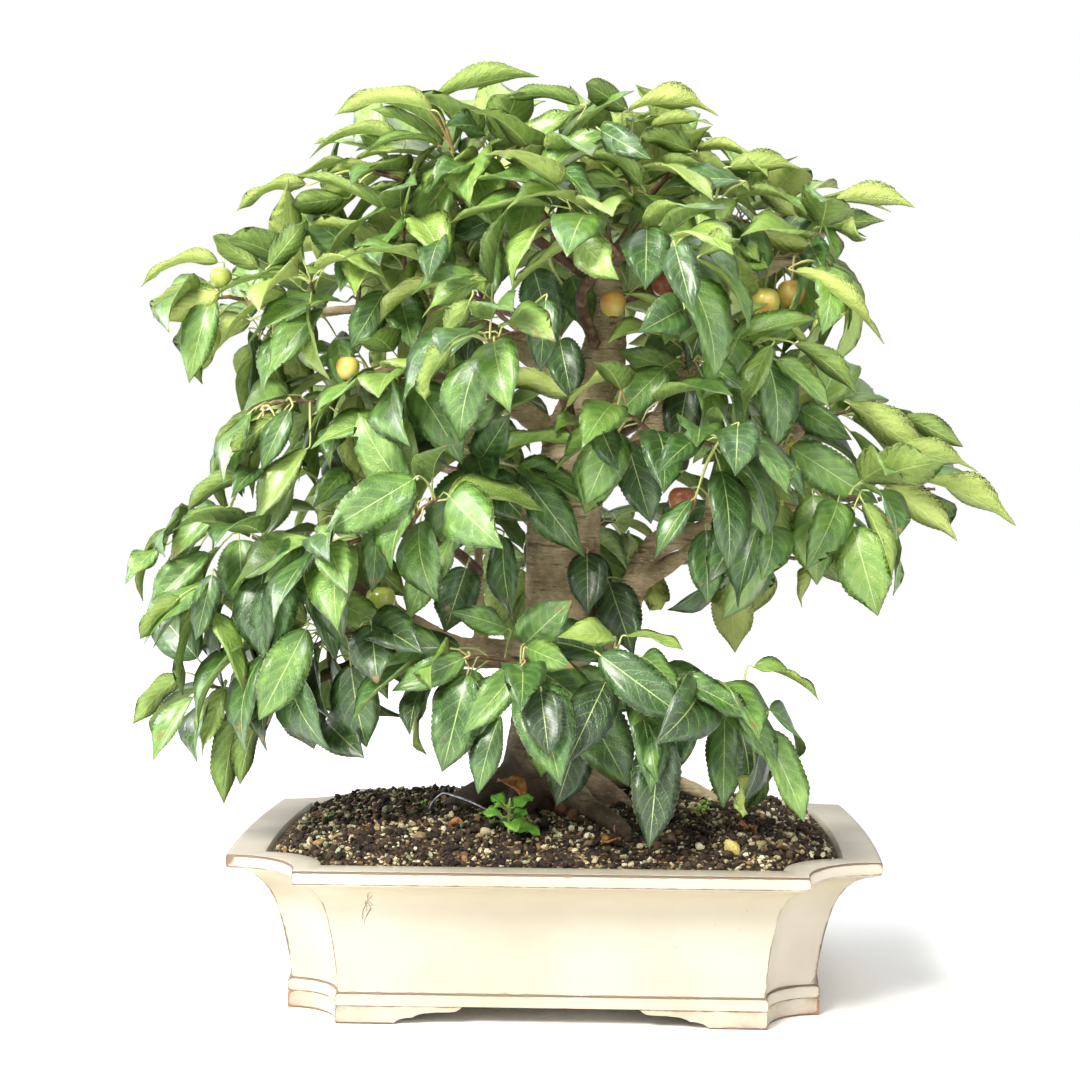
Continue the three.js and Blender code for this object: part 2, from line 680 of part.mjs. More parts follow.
function makeSoil() {
  const { edge, shoreInset, sideSteps } = soilMound;
  const lowest = pot.floorTop + fitGap;
  const rings = pot.innerWall
    .filter(([, z]) => z < edge)
    .reverse()
    .map(([inset, z]) => potOutline(inset + fitGap, Math.max(z, lowest), sideSteps));
  const shore = potOutline(pot.innerWall[0][0] + shoreInset + fitGap, edge, sideSteps);
  rings.push(shore);
  for (let i = 1; i < soilMound.rings; i++) {
    const share = 1 - i / soilMound.rings;
    rings.push(
      shore.map((p) => {
        const [x, y] = [p.x * share, p.y * share];
        return new THREE.Vector3(x, y, soilHeight(x, y));
      }),
    );
  }
  return skin(rings, { centreCaps: true });
}

function box(x0, y0, z0, x1, y1, z1) {
  const geometry = new THREE.BoxGeometry(x1 - x0, y1 - y0, z1 - z0);
  geometry.translate((x0 + x1) / 2, (y0 + y1) / 2, (z0 + z1) / 2);
  return solidFromGeometry(geometry);
}

// A square of plastic netting that lies on the pot's floor over a drain hole.
function makeScreen(side, grow = 0) {
  const [cx, z] = [side * pot.drainOffset, pot.floorTop + fitGap];
  const edge = screen.half + grow;
  const plate = box(cx - edge, -edge, z - grow, cx + edge, edge, z + screen.thick + grow);
  if (grow) return plate;
  const pitch = (2 * screen.half - screen.bar) / screen.cells;
  let net = plate;
  for (let i = 0; i < screen.cells; i++) {
    for (let j = 0; j < screen.cells; j++) {
      const x = cx - screen.half + screen.bar + i * pitch;
      const y = -screen.half + screen.bar + j * pitch;
      const cell = pitch - screen.bar;
      net = net.subtract(box(x, y, z - screen.thick, x + cell, y + cell, z + 2 * screen.thick));
    }
  }
  return net;
}

function makeWire(grow = 0) {
  const rows = anchorWire.route.map((point) => [...point, anchorWire.radius]);
  return woodTube(rows, anchorWire.sides, anchorWire.steps, grow);
}

// ---------------------------------------------------------------- the wood

const curveOf = (name) => (name === "trunk" ? trunkLine : branchLines[name]);

function makeWood(grow = 0) {
  const pieces = [woodTube(trunkLine, trunkSides, trunkSteps, grow, trunkUnevenness)];
  Object.values(branchLines).forEach((rows) => {
    pieces.push(woodTube(rows, branchSides, rows.length, grow));
  });
  rootLines.forEach((rows) => pieces.push(woodTube(rows, rootSides, rootSteps, grow)));
  return joined(pieces);
}

const wood = makeWood();
const woodWithClearance = makeWood(fitGap);

// ---------------------------------------------------------------- fruits

function makeFruit({ on, at, centre, radius }) {
  const hang = vec(rowAt(curveOf(on), at));
  const middle = vec(centre);
  const top = middle.clone().addScaledVector(up, radius * fruitStalk.from);
  const crest = hang.clone().lerp(top, 0.5).addScaledVector(up, fruitStalk.arch);
  const end = top.clone().addScaledVector(up, -fruitStalk.sunk);
  const profile = fruitProfile.map(([x, y]) => new THREE.Vector2(x * radius, y * radius));
  const body = new THREE.LatheGeometry(profile, fruitSides);
  body.rotateX(Math.PI / 2);
  body.translate(middle.x, middle.y, middle.z);
  const stalkRows = [hang, crest, end].map((point) => [...point.toArray(), fruitStalk.radius]);
  const stalk = woodTube(stalkRows, shootSides, 2).subtract(woodWithClearance);
  return joined([solidFromGeometry(body), stalk]);
}

// ---------------------------------------------------------------- leaves

// Seeded random numbers, one stream for each leaf and attempt.
function stream(seed) {
  let state = seed >>> 0;
  return () => {
    state = (state + 0x6d2b79f5) >>> 0;
    let t = Math.imul(state ^ (state >>> 15), state | 1);
    t ^= t + Math.imul(t ^ (t >>> 7), t | 61);
    return ((t ^ (t >>> 14)) >>> 0) / 4294967296;
  };
}

// How wide the blade is at t along its midrib, as a share of its half width.
const bladeCurve = (t) => t ** leaf.outline.rise * (1 - t) ** leaf.outline.fall;
const widestAt = leaf.outline.rise / (leaf.outline.rise + leaf.outline.fall);
const bladeShape = (t) => bladeCurve(t) / bladeCurve(widestAt);

// Points away from the middle of the crown.
function outward(point) {
  const rise = (point.z - crown.z) * crown.heightShare;
  return new THREE.Vector3(point.x - crown.x, point.y * crown.depthShare, rise).normalize();
}

// Where one leaf of a shoot sits and how it is turned, bent and folded.
function leafPose(path, shoot, index, attempt) {
  const draw = stream(shoot.seed * leafSeed.shoot + index * leafSeed.leaf + attempt * leafSeed.attempt);
  const spread = leaf.turn.spread + attempt * leaf.turn.perAttempt;
  const share = index === shoot.leaves - 1 ? leaf.end : leaf.side;
  const s = leaf.firstAt + (leaf.spanAlong * (index + 1)) / shoot.leaves;
  const foot = path.getPoint(s);
  const along = path.getTangent(s);
  const level = new THREE.Vector3().crossVectors(along, up).normalize();
  const over = new THREE.Vector3().crossVectors(level, along);
  const angle = index * leaf.goldenAngle + shoot.seed + (draw() - 0.5) * 2 * spread;
  const aside = level.multiplyScalar(Math.cos(angle)).addScaledVector(over, Math.sin(angle));
  const away = outward(foot);
  const height = THREE.MathUtils.clamp((foot.z - leaf.fall.from) / leaf.fall.over, 0, 1);
  const loose = (draw() - 0.5) * leaf.fall.spread * (1 + attempt * 0.1);
  const heading = along
    .clone()
    .multiplyScalar(share.along)
    .addScaledVector(aside, share.aside)
    .addScaledVector(away, share.away)
    .addScaledVector(up, leaf.fall.less * height - leaf.fall.low - loose)
    .normalize();
  const stalkLength = leaf.petiole + leaf.petioleSpread * draw();
  const stalkHeading = heading.clone().addScaledVector(up, leaf.stalkRise).normalize();
  const base = foot.clone().addScaledVector(stalkHeading, stalkLength);
  const length = leaf.length + leaf.lengthSpread * draw();
  const wander = new THREE.Vector3(draw() - 0.5, draw() - 0.5, draw() - 0.5);
  const face = up
    .clone()
    .multiplyScalar(leaf.face.up)
    .addScaledVector(away, leaf.face.away)
    .addScaledVector(wander, leaf.face.spread);
  const normal = face.addScaledVector(heading, -face.dot(heading)).normalize();
  return {
    foot,
    base,
    heading,
    normal,
    side: new THREE.Vector3().crossVectors(heading, normal),
    length,
    width: length * (leaf.slimness + leaf.slimSpread * draw()),
    bend: leaf.bend.least + leaf.bend.spread * draw(),
    fold: leaf.fold.least + leaf.fold.spread * draw(),
    ruffle: leaf.ruffle * (leaf.ruffleLeast + draw()),
  };
}

const bareStalkFrom = 0.6; // without its stalk, a leaf starts this far along it
const stalkFlat = 0.6; // height of the stalk's upper edges as a share of its radius

// A closed blade with its stalk: a lens folded along the midrib, arched towards its
// tip, its edge waved. `grow` swells it for the clearance test.
function leafSolid(pose, grow = 0, withStalk = true) {
  const { foot, base, heading, normal, side, length, width, bend, fold, ruffle } = pose;
  const stalkStart = withStalk ? foot : foot.clone().lerp(base, bareStalkFrom);
  const stalkRing = (centre) => {
    const r = leaf.petioleRadius + grow;
    const rim = centre.clone().addScaledVector(normal, r * stalkFlat);
    const left = rim.clone().addScaledVector(side, -r);
    const right = rim.clone().addScaledVector(side, r);
    const below = centre.clone().addScaledVector(normal, -r);
    return [left, left.clone(), right, below];
  };
  const midrib = (t, lift) => {
    const turn = bend * t;
    const lifted = normal.clone().multiplyScalar(Math.cos(turn)).addScaledVector(heading, Math.sin(turn));
    return ribPoint(pose, t).addScaledVector(lifted, lift);
  };
  const edge = (t, hand, wave) => {
    const reach = (width / 2) * bladeShape(t) + grow;
    return midrib(t, reach * Math.sin(fold) + wave).addScaledVector(side, hand * reach * Math.cos(fold));
  };
  const station = (t, wave) => [
    edge(t - leaf.skew, -1, wave),
    midrib(t, leaf.halfThick + grow),
    edge(t + leaf.skew, 1, -wave),
    midrib(t, -leaf.halfThick - grow),
  ];
  const tip = midrib(1 + grow / length, 0);
  const stations = base.y < leaf.plainBehind ? leaf.stations.fine : leaf.stations.plain;
  const rings = [
    stalkRing(stalkStart),
    stalkRing(base),
    ...stations.map(([t, wave]) => station(t, ruffle * wave)),
    [tip, tip.clone(), tip.clone(), tip.clone()],
  ];
  return skin(rings, { diagonal: (j) => j < 2 });
}

// The middle of the blade at t along it.
function ribPoint({ base, heading, normal, length, bend }, t) {
  const turn = bend * t;
  const forward = (length * Math.sin(turn)) / bend;
  const down = (length * (1 - Math.cos(turn))) / bend;
  return base.clone().addScaledVector(heading, forward).addScaledVector(normal, -down);
}

function insideOutline(point) {
  const eye = vec(crown.eye);
  const seen = point.clone().sub(eye).multiplyScalar(eye.y / (eye.y - point.y)).add(eye);
  let inside = false;
  crown.outline.forEach(([x0, z0], i) => {
    const [x1, z1] = crown.outline[(i + 1) % crown.outline.length];
    const crosses = z0 > seen.z !== z1 > seen.z;
    if (crosses && seen.x < x0 + ((x1 - x0) * (seen.z - z0)) / (z1 - z0)) inside = !inside;
  });
  return inside;
}

// The tip, the middle and the two edges of a leaf lie within the crown's outline.
function insideCrown(pose) {
  const middle = ribPoint(pose, widestAt);
  const reach = (pose.width / 2) * Math.cos(pose.fold);
  const edges = [-reach, reach].map((r) => middle.clone().addScaledVector(pose.side, r));
  return [ribPoint(pose, 1), ribPoint(pose, 0.75), ...edges].every(insideOutline);
}

const boxesMeet = (a, b) => [0, 1, 2].every((k) => a.min[k] < b.max[k] && b.min[k] < a.max[k]);

function clearOf(candidate, others) {
  const bounds = candidate.boundingBox();
  const apart = (other) => !boxesMeet(bounds, other.bounds);
  return others.every((other) => apart(other) || candidate.intersect(other.solid).isEmpty());
}

const withBounds = (solid) => ({ solid, bounds: solid.boundingBox() });

// ---------------------------------------------------------------- stems with their leaves

// A shoot rises to a slight crest and runs on to its tip.
function shootPath(start, tip) {
  const rise = start.distanceTo(tip) * shootArch;
  const crest = start.clone().lerp(tip, 0.5).addScaledVector(up, rise);
  const path = new THREE.CurvePath();
  path.add(new THREE.LineCurve3(start, crest));
  path.add(new THREE.LineCurve3(crest, tip));
  return path;
}

function shootTube(path) {
  const [first, second] = path.curves;
  const rows = [
    [...first.v1.toArray(), shootStart],
    [...first.v2.toArray(), (shootStart + shootEnd) / 2],
    [...second.v2.toArray(), shootEnd],
  ];
  return woodTube(rows, shootSides, 2);
}

function planStem(stem, number) {
  const start = rowAt(curveOf(stem.on), stem.at);
  const tubes = [];
  let rows = null;
  if (stem.line) {
    const heel = [start[0], start[1], start[2], stem.line[0][3] + twigHeel];
    rows = [heel, ...stem.line, [...stem.shoots[0].tip, shootEnd]];
    tubes.push(woodTube(rows, twigSides, rows.length - 1).subtract(woodWithClearance));
  }
  const shoots = stem.shoots.map((shoot, k) => {
    const seed = number * shootSeedStep + k + 1;
    const tip = vec(shoot.tip);
    if (rows && k === 0) {
      const path = new THREE.LineCurve3(vec(rows[rows.length - 2]), tip);
      return { ...shoot, path, seed };
    }
    const path = shootPath(vec(rows ? rowAt(rows, shoot.at) : start), tip);
    const tube = shootTube(path);
    tubes.push(rows ? tube : tube.subtract(woodWithClearance));
    return { ...shoot, path, seed };
  });
  return { name: "leafy_stem_" + stem.name, shoots, tube: joined(tubes), leaves: [] };
}

function growLeaves(plans, fixed) {
  const placed = [...fixed];
  const tubes = plans.map((plan) => withBounds(plan.tube));
  plans.forEach((plan, number) => {
    const otherTubes = tubes.filter((_, i) => i !== number);
    plan.shoots.forEach((shoot) => {
      for (let index = 0; index < shoot.leaves; index++) {
        for (let attempt = 0; attempt < leaf.attempts; attempt++) {
          const pose = leafPose(shoot.path, shoot, index, attempt);
          if (!insideCrown(pose)) continue;
          const whole = leafSolid(pose, fitGap);
          const blade = leafSolid(pose, fitGap, false);
          if (!clearOf(whole, otherTubes) || !clearOf(whole, placed)) continue;
          if (!clearOf(blade, [tubes[number]]) || !clearOf(blade, plan.leaves)) continue;
          plan.leaves.push(withBounds(leafSolid(pose)));
          break;
        }
      }
    });
    placed.push(...plan.leaves);
  });
}

// ---------------------------------------------------------------- seedling

function seedlingPose(index) {
  const { rise, stalk, leafLength, leafWidth, bend, fold, ruffle } = seedling;
  const angle = index * leaf.goldenAngle;
  const climb = rise.least + rise.more * index;
  const heading = new THREE.Vector3(Math.cos(angle), Math.sin(angle), climb).normalize();
  const foot = vec([...seedling.foot, seedling.crown - seedling.overCrown + index * seedling.leafStep]);
  const normal = up.clone().addScaledVector(heading, -heading.z).normalize();
  return {
    foot,
    base: foot.clone().addScaledVector(heading, stalk),
    heading,
    normal,
    side: new THREE.Vector3().crossVectors(heading, normal),
    length: leafLength - index,
    width: leafWidth,
    bend,
    fold,
    ruffle,
  };
}

function makeSeedling(grow = 0) {
  const stemRows = [
    [...seedling.foot, seedling.bottom, seedling.stemStart],
    [...seedling.foot, seedling.crown + seedling.overCrown, seedling.stemEnd],
  ];
  const stem = woodTube(stemRows, twigSides, 1, grow);
  if (grow) return stem;
  const blades = [];
  for (let i = 0; i < seedling.leaves; i++) blades.push(leafSolid(seedlingPose(i)));
  return joined([stem, ...blades]);
}

// ---------------------------------------------------------------- assembly

const tree = new THREE.Group();
function addNode(name, solid, material) {
  const mesh = new THREE.Mesh(geometryFromSolid(solid), material);
  mesh.name = name;
  tree.add(mesh);
}

const potSolid = makePot();
const buried = [
  woodWithClearance,
  makeWire(fitGap),
  makeSeedling(fitGap),
  makeScreen(-1, fitGap),
  makeScreen(1, fitGap),
];
const soilSolid = buried.reduce((left, piece) => left.subtract(piece), makeSoil());
addNode("pot", potSolid, materials.glaze);
addNode("soil", soilSolid, materials.soil);
addNode("drain_screen_left", makeScreen(-1), materials.plastic);
addNode("drain_screen_right", makeScreen(1), materials.plastic);
addNode("anchor_wire", makeWire(), materials.wire);
addNode("trunk", wood, materials.bark);

const seedlingSolid = makeSeedling();
addNode("seedling", seedlingSolid, materials.youngLeaf);

const fruitSolids = fruits.map(makeFruit);
fruits.forEach(({ colour }, i) => {
  addNode("fruit_" + String(i + 1).padStart(2, "0"), fruitSolids[i], materials[colour + "Fruit"]);
});

const plans = stems.map(planStem);
growLeaves(plans, [potSolid, soilSolid, wood, seedlingSolid, ...fruitSolids].map(withBounds));
plans.forEach((plan) => {
  addNode(plan.name, joined([plan.tube, ...plan.leaves.map((l) => l.solid)]), materials.leaf);
});

// The origin lies under the middle of the whole, on the surface that the pot stands on.
const bounds = new THREE.Box3().setFromObject(tree);
const middle = bounds.getCenter(new THREE.Vector3());
tree.position.set(snapped(-middle.x), snapped(-middle.y), snapped(-bounds.min.z));

export default tree;
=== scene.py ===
# A crabapple bonsai in a cream pot with scooped corners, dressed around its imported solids.
# Shapes are worked out in millimetres from the pot's middle on the floor, +X right, +Y back,
# and inFrame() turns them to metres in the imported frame.
import math
import random
from functools import partial

import bmesh
import bpy
import numpy as np
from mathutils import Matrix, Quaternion, Vector, kdtree, noise


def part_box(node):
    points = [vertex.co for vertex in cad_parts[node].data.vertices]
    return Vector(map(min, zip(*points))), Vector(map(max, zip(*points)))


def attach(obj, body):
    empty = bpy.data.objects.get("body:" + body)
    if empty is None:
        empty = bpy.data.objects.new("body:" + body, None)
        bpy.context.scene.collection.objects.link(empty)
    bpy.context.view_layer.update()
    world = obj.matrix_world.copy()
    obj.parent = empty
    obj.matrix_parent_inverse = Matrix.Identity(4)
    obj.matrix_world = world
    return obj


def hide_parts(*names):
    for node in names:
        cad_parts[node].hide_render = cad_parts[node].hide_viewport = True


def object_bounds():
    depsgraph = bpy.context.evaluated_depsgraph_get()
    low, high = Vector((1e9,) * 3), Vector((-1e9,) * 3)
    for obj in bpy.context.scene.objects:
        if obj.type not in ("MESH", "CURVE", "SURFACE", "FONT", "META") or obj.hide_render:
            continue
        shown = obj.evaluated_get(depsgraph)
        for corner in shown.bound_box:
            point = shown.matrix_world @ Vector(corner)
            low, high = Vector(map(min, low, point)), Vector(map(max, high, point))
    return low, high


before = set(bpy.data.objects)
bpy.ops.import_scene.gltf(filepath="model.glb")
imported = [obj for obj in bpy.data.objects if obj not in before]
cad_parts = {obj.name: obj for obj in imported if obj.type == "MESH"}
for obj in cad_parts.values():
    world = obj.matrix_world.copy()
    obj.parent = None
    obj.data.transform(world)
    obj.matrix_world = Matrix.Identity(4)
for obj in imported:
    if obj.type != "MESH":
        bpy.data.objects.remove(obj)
cadBounds = [list(corner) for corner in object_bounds()]
bpy.ops.object.select_all(action="DESELECT")
print("frame loaded,", len(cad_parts), "nodes")

mm = 0.001
potLow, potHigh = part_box("pot")
potMiddle = np.array([(potLow.x + potHigh.x) / 2, (potLow.y + potHigh.y) / 2, 0.0])
up = np.array([0.0, 0.0, 1.0])


def inFrame(points):
    return np.asarray(points, float)[..., :3] * mm + potMiddle


def unit(v):
    return v / np.linalg.norm(v)


# camera, floor and light

cameraView = {
    "place": (37.3, -1546.6, 400.7),  # mm
    "yaw": math.radians(-1.937),  # turned to the right of +Y
    "pitch": math.radians(-1.563),
    "roll": math.radians(0.344),
    "lens": 63.2,
    "sensor": 36,
    "frame": 1080,  # pixels across and down
    "clip": 0.05,  # m
}
studio = {
    "floorSize": 14.0,  # m
    "worldSeen": 1.0,  # the paper behind, as the camera sees it
    "worldLight": 0.5,  # and the light that it throws
    # name, place in m, aim in m, width and height in m, watts, colour
    "lamps": [
        ("key", (-1.3, -2.2, 2.3), (0, 0, 0.35), 1.1, 0.9, 172, "#fffdf6"),
        ("fill", (2.0, -1.6, 1.3), (0, 0, 0.35), 1.4, 1.4, 20, "#ffffff"),
        ("side", (-2.2, 0.3, 1.3), (0, 0, 0.2), 1.2, 0.9, 52, "#ffffff"),
        ("top", (0.1, 0.5, 2.6), (0, 0, 0.4), 1.6, 1.6, 24, "#f2f7ff"),
    ],
    # m from the middle: from here on the floor glows, up to as bright as the paper: painted light, as the
    # floor is no lamp
    "litFrom": 0.9,
    "litTo": 2.3,
    "litBy": 0.5,
}


def addObject(name, data):
    made = bpy.data.objects.new(name, data)
    bpy.context.scene.collection.objects.link(made)
    return made


def cameraAxes():
    yaw, pitch, roll = cameraView["yaw"], cameraView["pitch"], cameraView["roll"]
    ahead = np.array([math.sin(yaw) * math.cos(pitch), math.cos(yaw) * math.cos(pitch), math.sin(pitch)])
    level = unit(np.cross(ahead, up))
    rise = np.cross(level, ahead)
    c, s = math.cos(roll), math.sin(roll)
    return ahead, c * level + s * rise, c * rise - s * level


eye = np.array(cameraView["place"])
look, rightward, upward = cameraAxes()
half = cameraView["frame"] / 2
focal = cameraView["lens"] / cameraView["sensor"] * cameraView["frame"]  # pixels


def addCamera():
    data = bpy.data.cameras.new("camera")
    data.lens = cameraView["lens"]
    data.sensor_width = cameraView["sensor"]
    data.clip_start = cameraView["clip"]
    camera = addObject("camera", data)
    camera.rotation_euler = Vector(look).to_track_quat("-Z", "Y").to_euler()
    camera.rotation_euler.rotate_axis("Z", cameraView["roll"])
    camera.location = inFrame(cameraView["place"])
    bpy.context.scene.camera = camera


def linear(hexText):  # "#rrggbb" in sRGB to linear light
    shares = [int(hexText[i : i + 2], 16) / 255 for i in (1, 3, 5)]
    return tuple(s / 12.92 if s <= 0.04045 else ((s + 0.055) / 1.055) ** 2.4 for s in shares) + (1.0,)


# materials: one function adds a node with its settings and links


def feed(node, *values, **named):
    # Gives inputs a number, a colour or another node's first open output: the values in the
    # order of the node's open inputs, the named ones by name.
    pairs = list(zip([socket for socket in node.inputs if socket.enabled], values))
    pairs += [(node.inputs[name.replace("_", " ")], value) for name, value in named.items()]
    for socket, value in pairs:
        if isinstance(value, bpy.types.Node):
            value = next(output for output in value.outputs if output.enabled)
        if isinstance(value, bpy.types.NodeSocket):
            node.id_data.links.new(value, socket)
        else:
            socket.default_value = linear(value) if isinstance(value, str) else value


def addNode(tree, kind, *values, stops=(), **named):
    # names in small letters are the node's settings, the others are inputs
    made = tree.nodes.new("ShaderNode" + kind)
    for name in [name for name in named if name.islower()]:
        setattr(made, name, named.pop(name))
    feed(made, *values, **named)
    if stops:
        ramp = made.color_ramp
        while len(ramp.elements) < len(stops):
            ramp.elements.new(1.0)
        for element, (place, colour) in zip(ramp.elements, stops):
            element.position = place
            element.color = linear(colour) if isinstance(colour, str) else (colour, colour, colour, 1.0)
    return made


def startMaterial(name, **surface):
    # a new material, what adds its nodes, the place on the piece, and its shader
    material = bpy.data.materials.new(name)
    material.use_nodes = True
    add = partial(addNode, material.node_tree)
    shader = material.node_tree.nodes["Principled BSDF"]
    feed(shader, **surface)
    return material, add, add("TexCoord").outputs["Object"], shader


def mottled(name, scale, detail, stops, relief=None, **surface):
    # a finish whose colour wanders as a noise does, with [strength, height in m] of relief if any
    material, add, place, shader = startMaterial(name, **surface)
    blot = add("TexNoise", place, scale, detail)
    feed(shader, Base_Color=add("ValToRGB", blot, stops=stops))
    if relief:
        feed(shader, Normal=add("Bump", *relief, Height=blot))
    return material


def primitive(kind, **settings):
    bpy.ops.object.select_all(action="DESELECT")
    getattr(bpy.ops.mesh, f"primitive_{kind}_add")(**settings)
    return bpy.context.object


def addFloor():
    floor = primitive("grid", x_subdivisions=2, y_subdivisions=2, size=studio["floorSize"])
    floor.name = "studio_floor"
    # matt painted board: a pale ground that shows only a soft contact shadow; further out it glows, painted
    # light that carries it up to the paper's brightness
    material, add, place, shader = startMaterial("paintedBoard", Roughness=0.9)
    tint = add("ValToRGB", add("TexNoise", Scale=3.0), stops=[(0.3, "#fdfdfc"), (0.7, "#fefefe")])
    reach = add("VectorMath", place, operation="LENGTH")
    lit = add("MapRange", reach, studio["litFrom"], studio["litTo"], 0.0, studio["litBy"])
    feed(shader, Base_Color=tint, Emission_Color="#ffffff", Emission_Strength=lit)
    floor.data.materials.append(material)


def addLights():
    scene = bpy.context.scene
    scene.view_settings.view_transform = "Standard"
    scene.world = bpy.data.worlds.new("studioWorld")
    scene.world.use_nodes = True
    tree = scene.world.node_tree
    seen = addNode(tree, "LightPath")
    strength = addNode(tree, "MapRange", seen, 0.0, 1.0, studio["worldLight"], studio["worldSeen"])
    feed(tree.nodes["Background"], Color="#ffffff", Strength=strength)
    for name, place, aim, width, height, watts, colour in studio["lamps"]:
        data = bpy.data.lights.new(name, "AREA")
        data.shape = "RECTANGLE"
        data.size, data.size_y, data.energy = width, height, watts
        data.color = linear(colour)[:3]
        lamp = addObject(name, data)
        lamp.location = place
        lamp.rotation_euler = (Vector(aim) - Vector(place)).to_track_quat("-Z", "Y").to_euler()


addCamera()
addFloor()
addLights()
print("camera, floor and light set")

# modelling helpers


def onlyActive(piece):
    bpy.ops.object.select_all(action="DESELECT")
    piece.select_set(True)
    bpy.context.view_layer.objects.active = piece


def stackRings(name, rings):
    # A filled circle is set on the first ring and extruded up ring by ring into a closed body.
    rings = [inFrame(ring) for ring in rings]
    piece = primitive("circle", vertices=len(rings[0]), radius=0.1, fill_type="NGON")
    piece.name = name
    for corner, place in zip(piece.data.vertices, rings[0]):
        corner.co = place
    bpy.ops.object.mode_set(mode="EDIT")
    bpy.ops.mesh.select_all(action="SELECT")
    below = rings[0]
    for ring in rings[1:]:
        corners = np.round(below.astype(np.float32).astype(float), 6)
        order = {tuple(place): j for j, place in enumerate(corners)}
        bpy.ops.mesh.extrude_region()
        body = bmesh.from_edit_mesh(piece.data)
        for corner in (v for v in body.verts if v.select):
            corner.co = ring[order[tuple(np.round(corner.co, 6))]]
        bmesh.update_edit_mesh(piece.data)
        below = ring
    bpy.ops.mesh.select_all(action="SELECT")
    bpy.ops.mesh.normals_make_consistent(inside=False)
    bpy.ops.object.mode_set(mode="OBJECT")
    return piece


def shadeSmooth(piece, degrees):
    onlyActive(piece)
    bpy.ops.object.shade_smooth_by_angle(angle=math.radians(degrees))


def setMaterials(piece, *materials):
    piece.data.materials.clear()
    for material in materials:
        piece.data.materials.append(material)


def finishPiece(piece, slot, *nodes):
    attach(piece, "root")
    if nodes:
        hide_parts(*nodes)


def modify(piece, kind, **settings):
    modifier = piece.modifiers.new(kind.lower(), kind)
    for name, value in settings.items():
        setattr(modifier, name, value)
    bpy.ops.object.modifier_apply(modifier=modifier.name)


def cutAway(piece, cutter):
    onlyActive(piece)
    modify(piece, "BOOLEAN", operation="DIFFERENCE", object=cutter, solver="EXACT")
    bpy.data.objects.remove(cutter)


def rowAt(rows, t):
    # Uniform Catmull-Rom curve through rows of numbers, t from 0 to 1 along them.
    rows = np.asarray(rows, float)
    spot = (len(rows) - 1) * min(max(t, 0.0), 1.0)
    i = min(int(spot), len(rows) - 2)
    w = spot - i
    padded = np.vstack([2 * rows[0] - rows[1], rows, 2 * rows[-1] - rows[-2]])
    a, b, c, d = padded[i : i + 4]
    slopeIn, slopeOut = (c - a) / 2, (d - b) / 2
    cubic = 2 * (b - c) + slopeIn + slopeOut
    square = 3 * (c - b) - 2 * slopeIn - slopeOut
    return ((cubic * w + square) * w + slopeIn) * w + b


def sampledRows(rows, count):
    return [rowAt(rows, i / (count - 1)) for i in range(count)]


def tubes(name, lines, roundness, *materials):
    # Round tubes along lines of [x, y, z, radius] rows, in one closed mesh with capped ends.
    data = bpy.data.curves.new(name, "CURVE")
    data.dimensions = "3D"
    data.bevel_depth = 1.0
    data.bevel_resolution = roundness
    data.use_fill_caps = True
    for rows in lines:
        spline = data.splines.new("POLY")
        spline.points.add(len(rows) - 1)
        for point, row in zip(spline.points, rows):
            point.co = (*inFrame(row), 1.0)
            point.radius = row[3] * mm
    onlyActive(addObject(name, data))
    bpy.ops.object.convert(target="MESH")
    piece = bpy.context.object
    bpy.ops.object.mode_set(mode="EDIT")
    bpy.ops.mesh.select_all(action="SELECT")
    bpy.ops.mesh.remove_doubles(threshold=1e-6)
    bpy.ops.mesh.normals_make_consistent(inside=False)
    bpy.ops.object.mode_set(mode="OBJECT")
    setMaterials(piece, *materials)
    return piece


def meshOf(name, places, faces):
    data = bpy.data.meshes.new(name)
    data.from_pydata([tuple(p) for p in places], [], [tuple(f) for f in faces])
    return addObject(name, data)


def joinPieces(name, pieces):
    onlyActive(pieces[0])
    for piece in pieces:
        piece.select_set(True)
    bpy.ops.object.join()
    pieces[0].name = pieces[0].data.name = name
    return pieces[0]


def nearestFinder(points):
    tree = kdtree.KDTree(len(points))
    for i, point in enumerate(points):
        tree.insert(point, i)
    tree.balance()
    return tree


def tintPiece(piece, name, kind, field, values):
    # a value or a colour for each corner, which a material reads by this name
    layer = piece.data.attributes.new(name, kind, "POINT")
    layer.data.foreach_set(field, np.array(values, np.float32).ravel())


# the pot

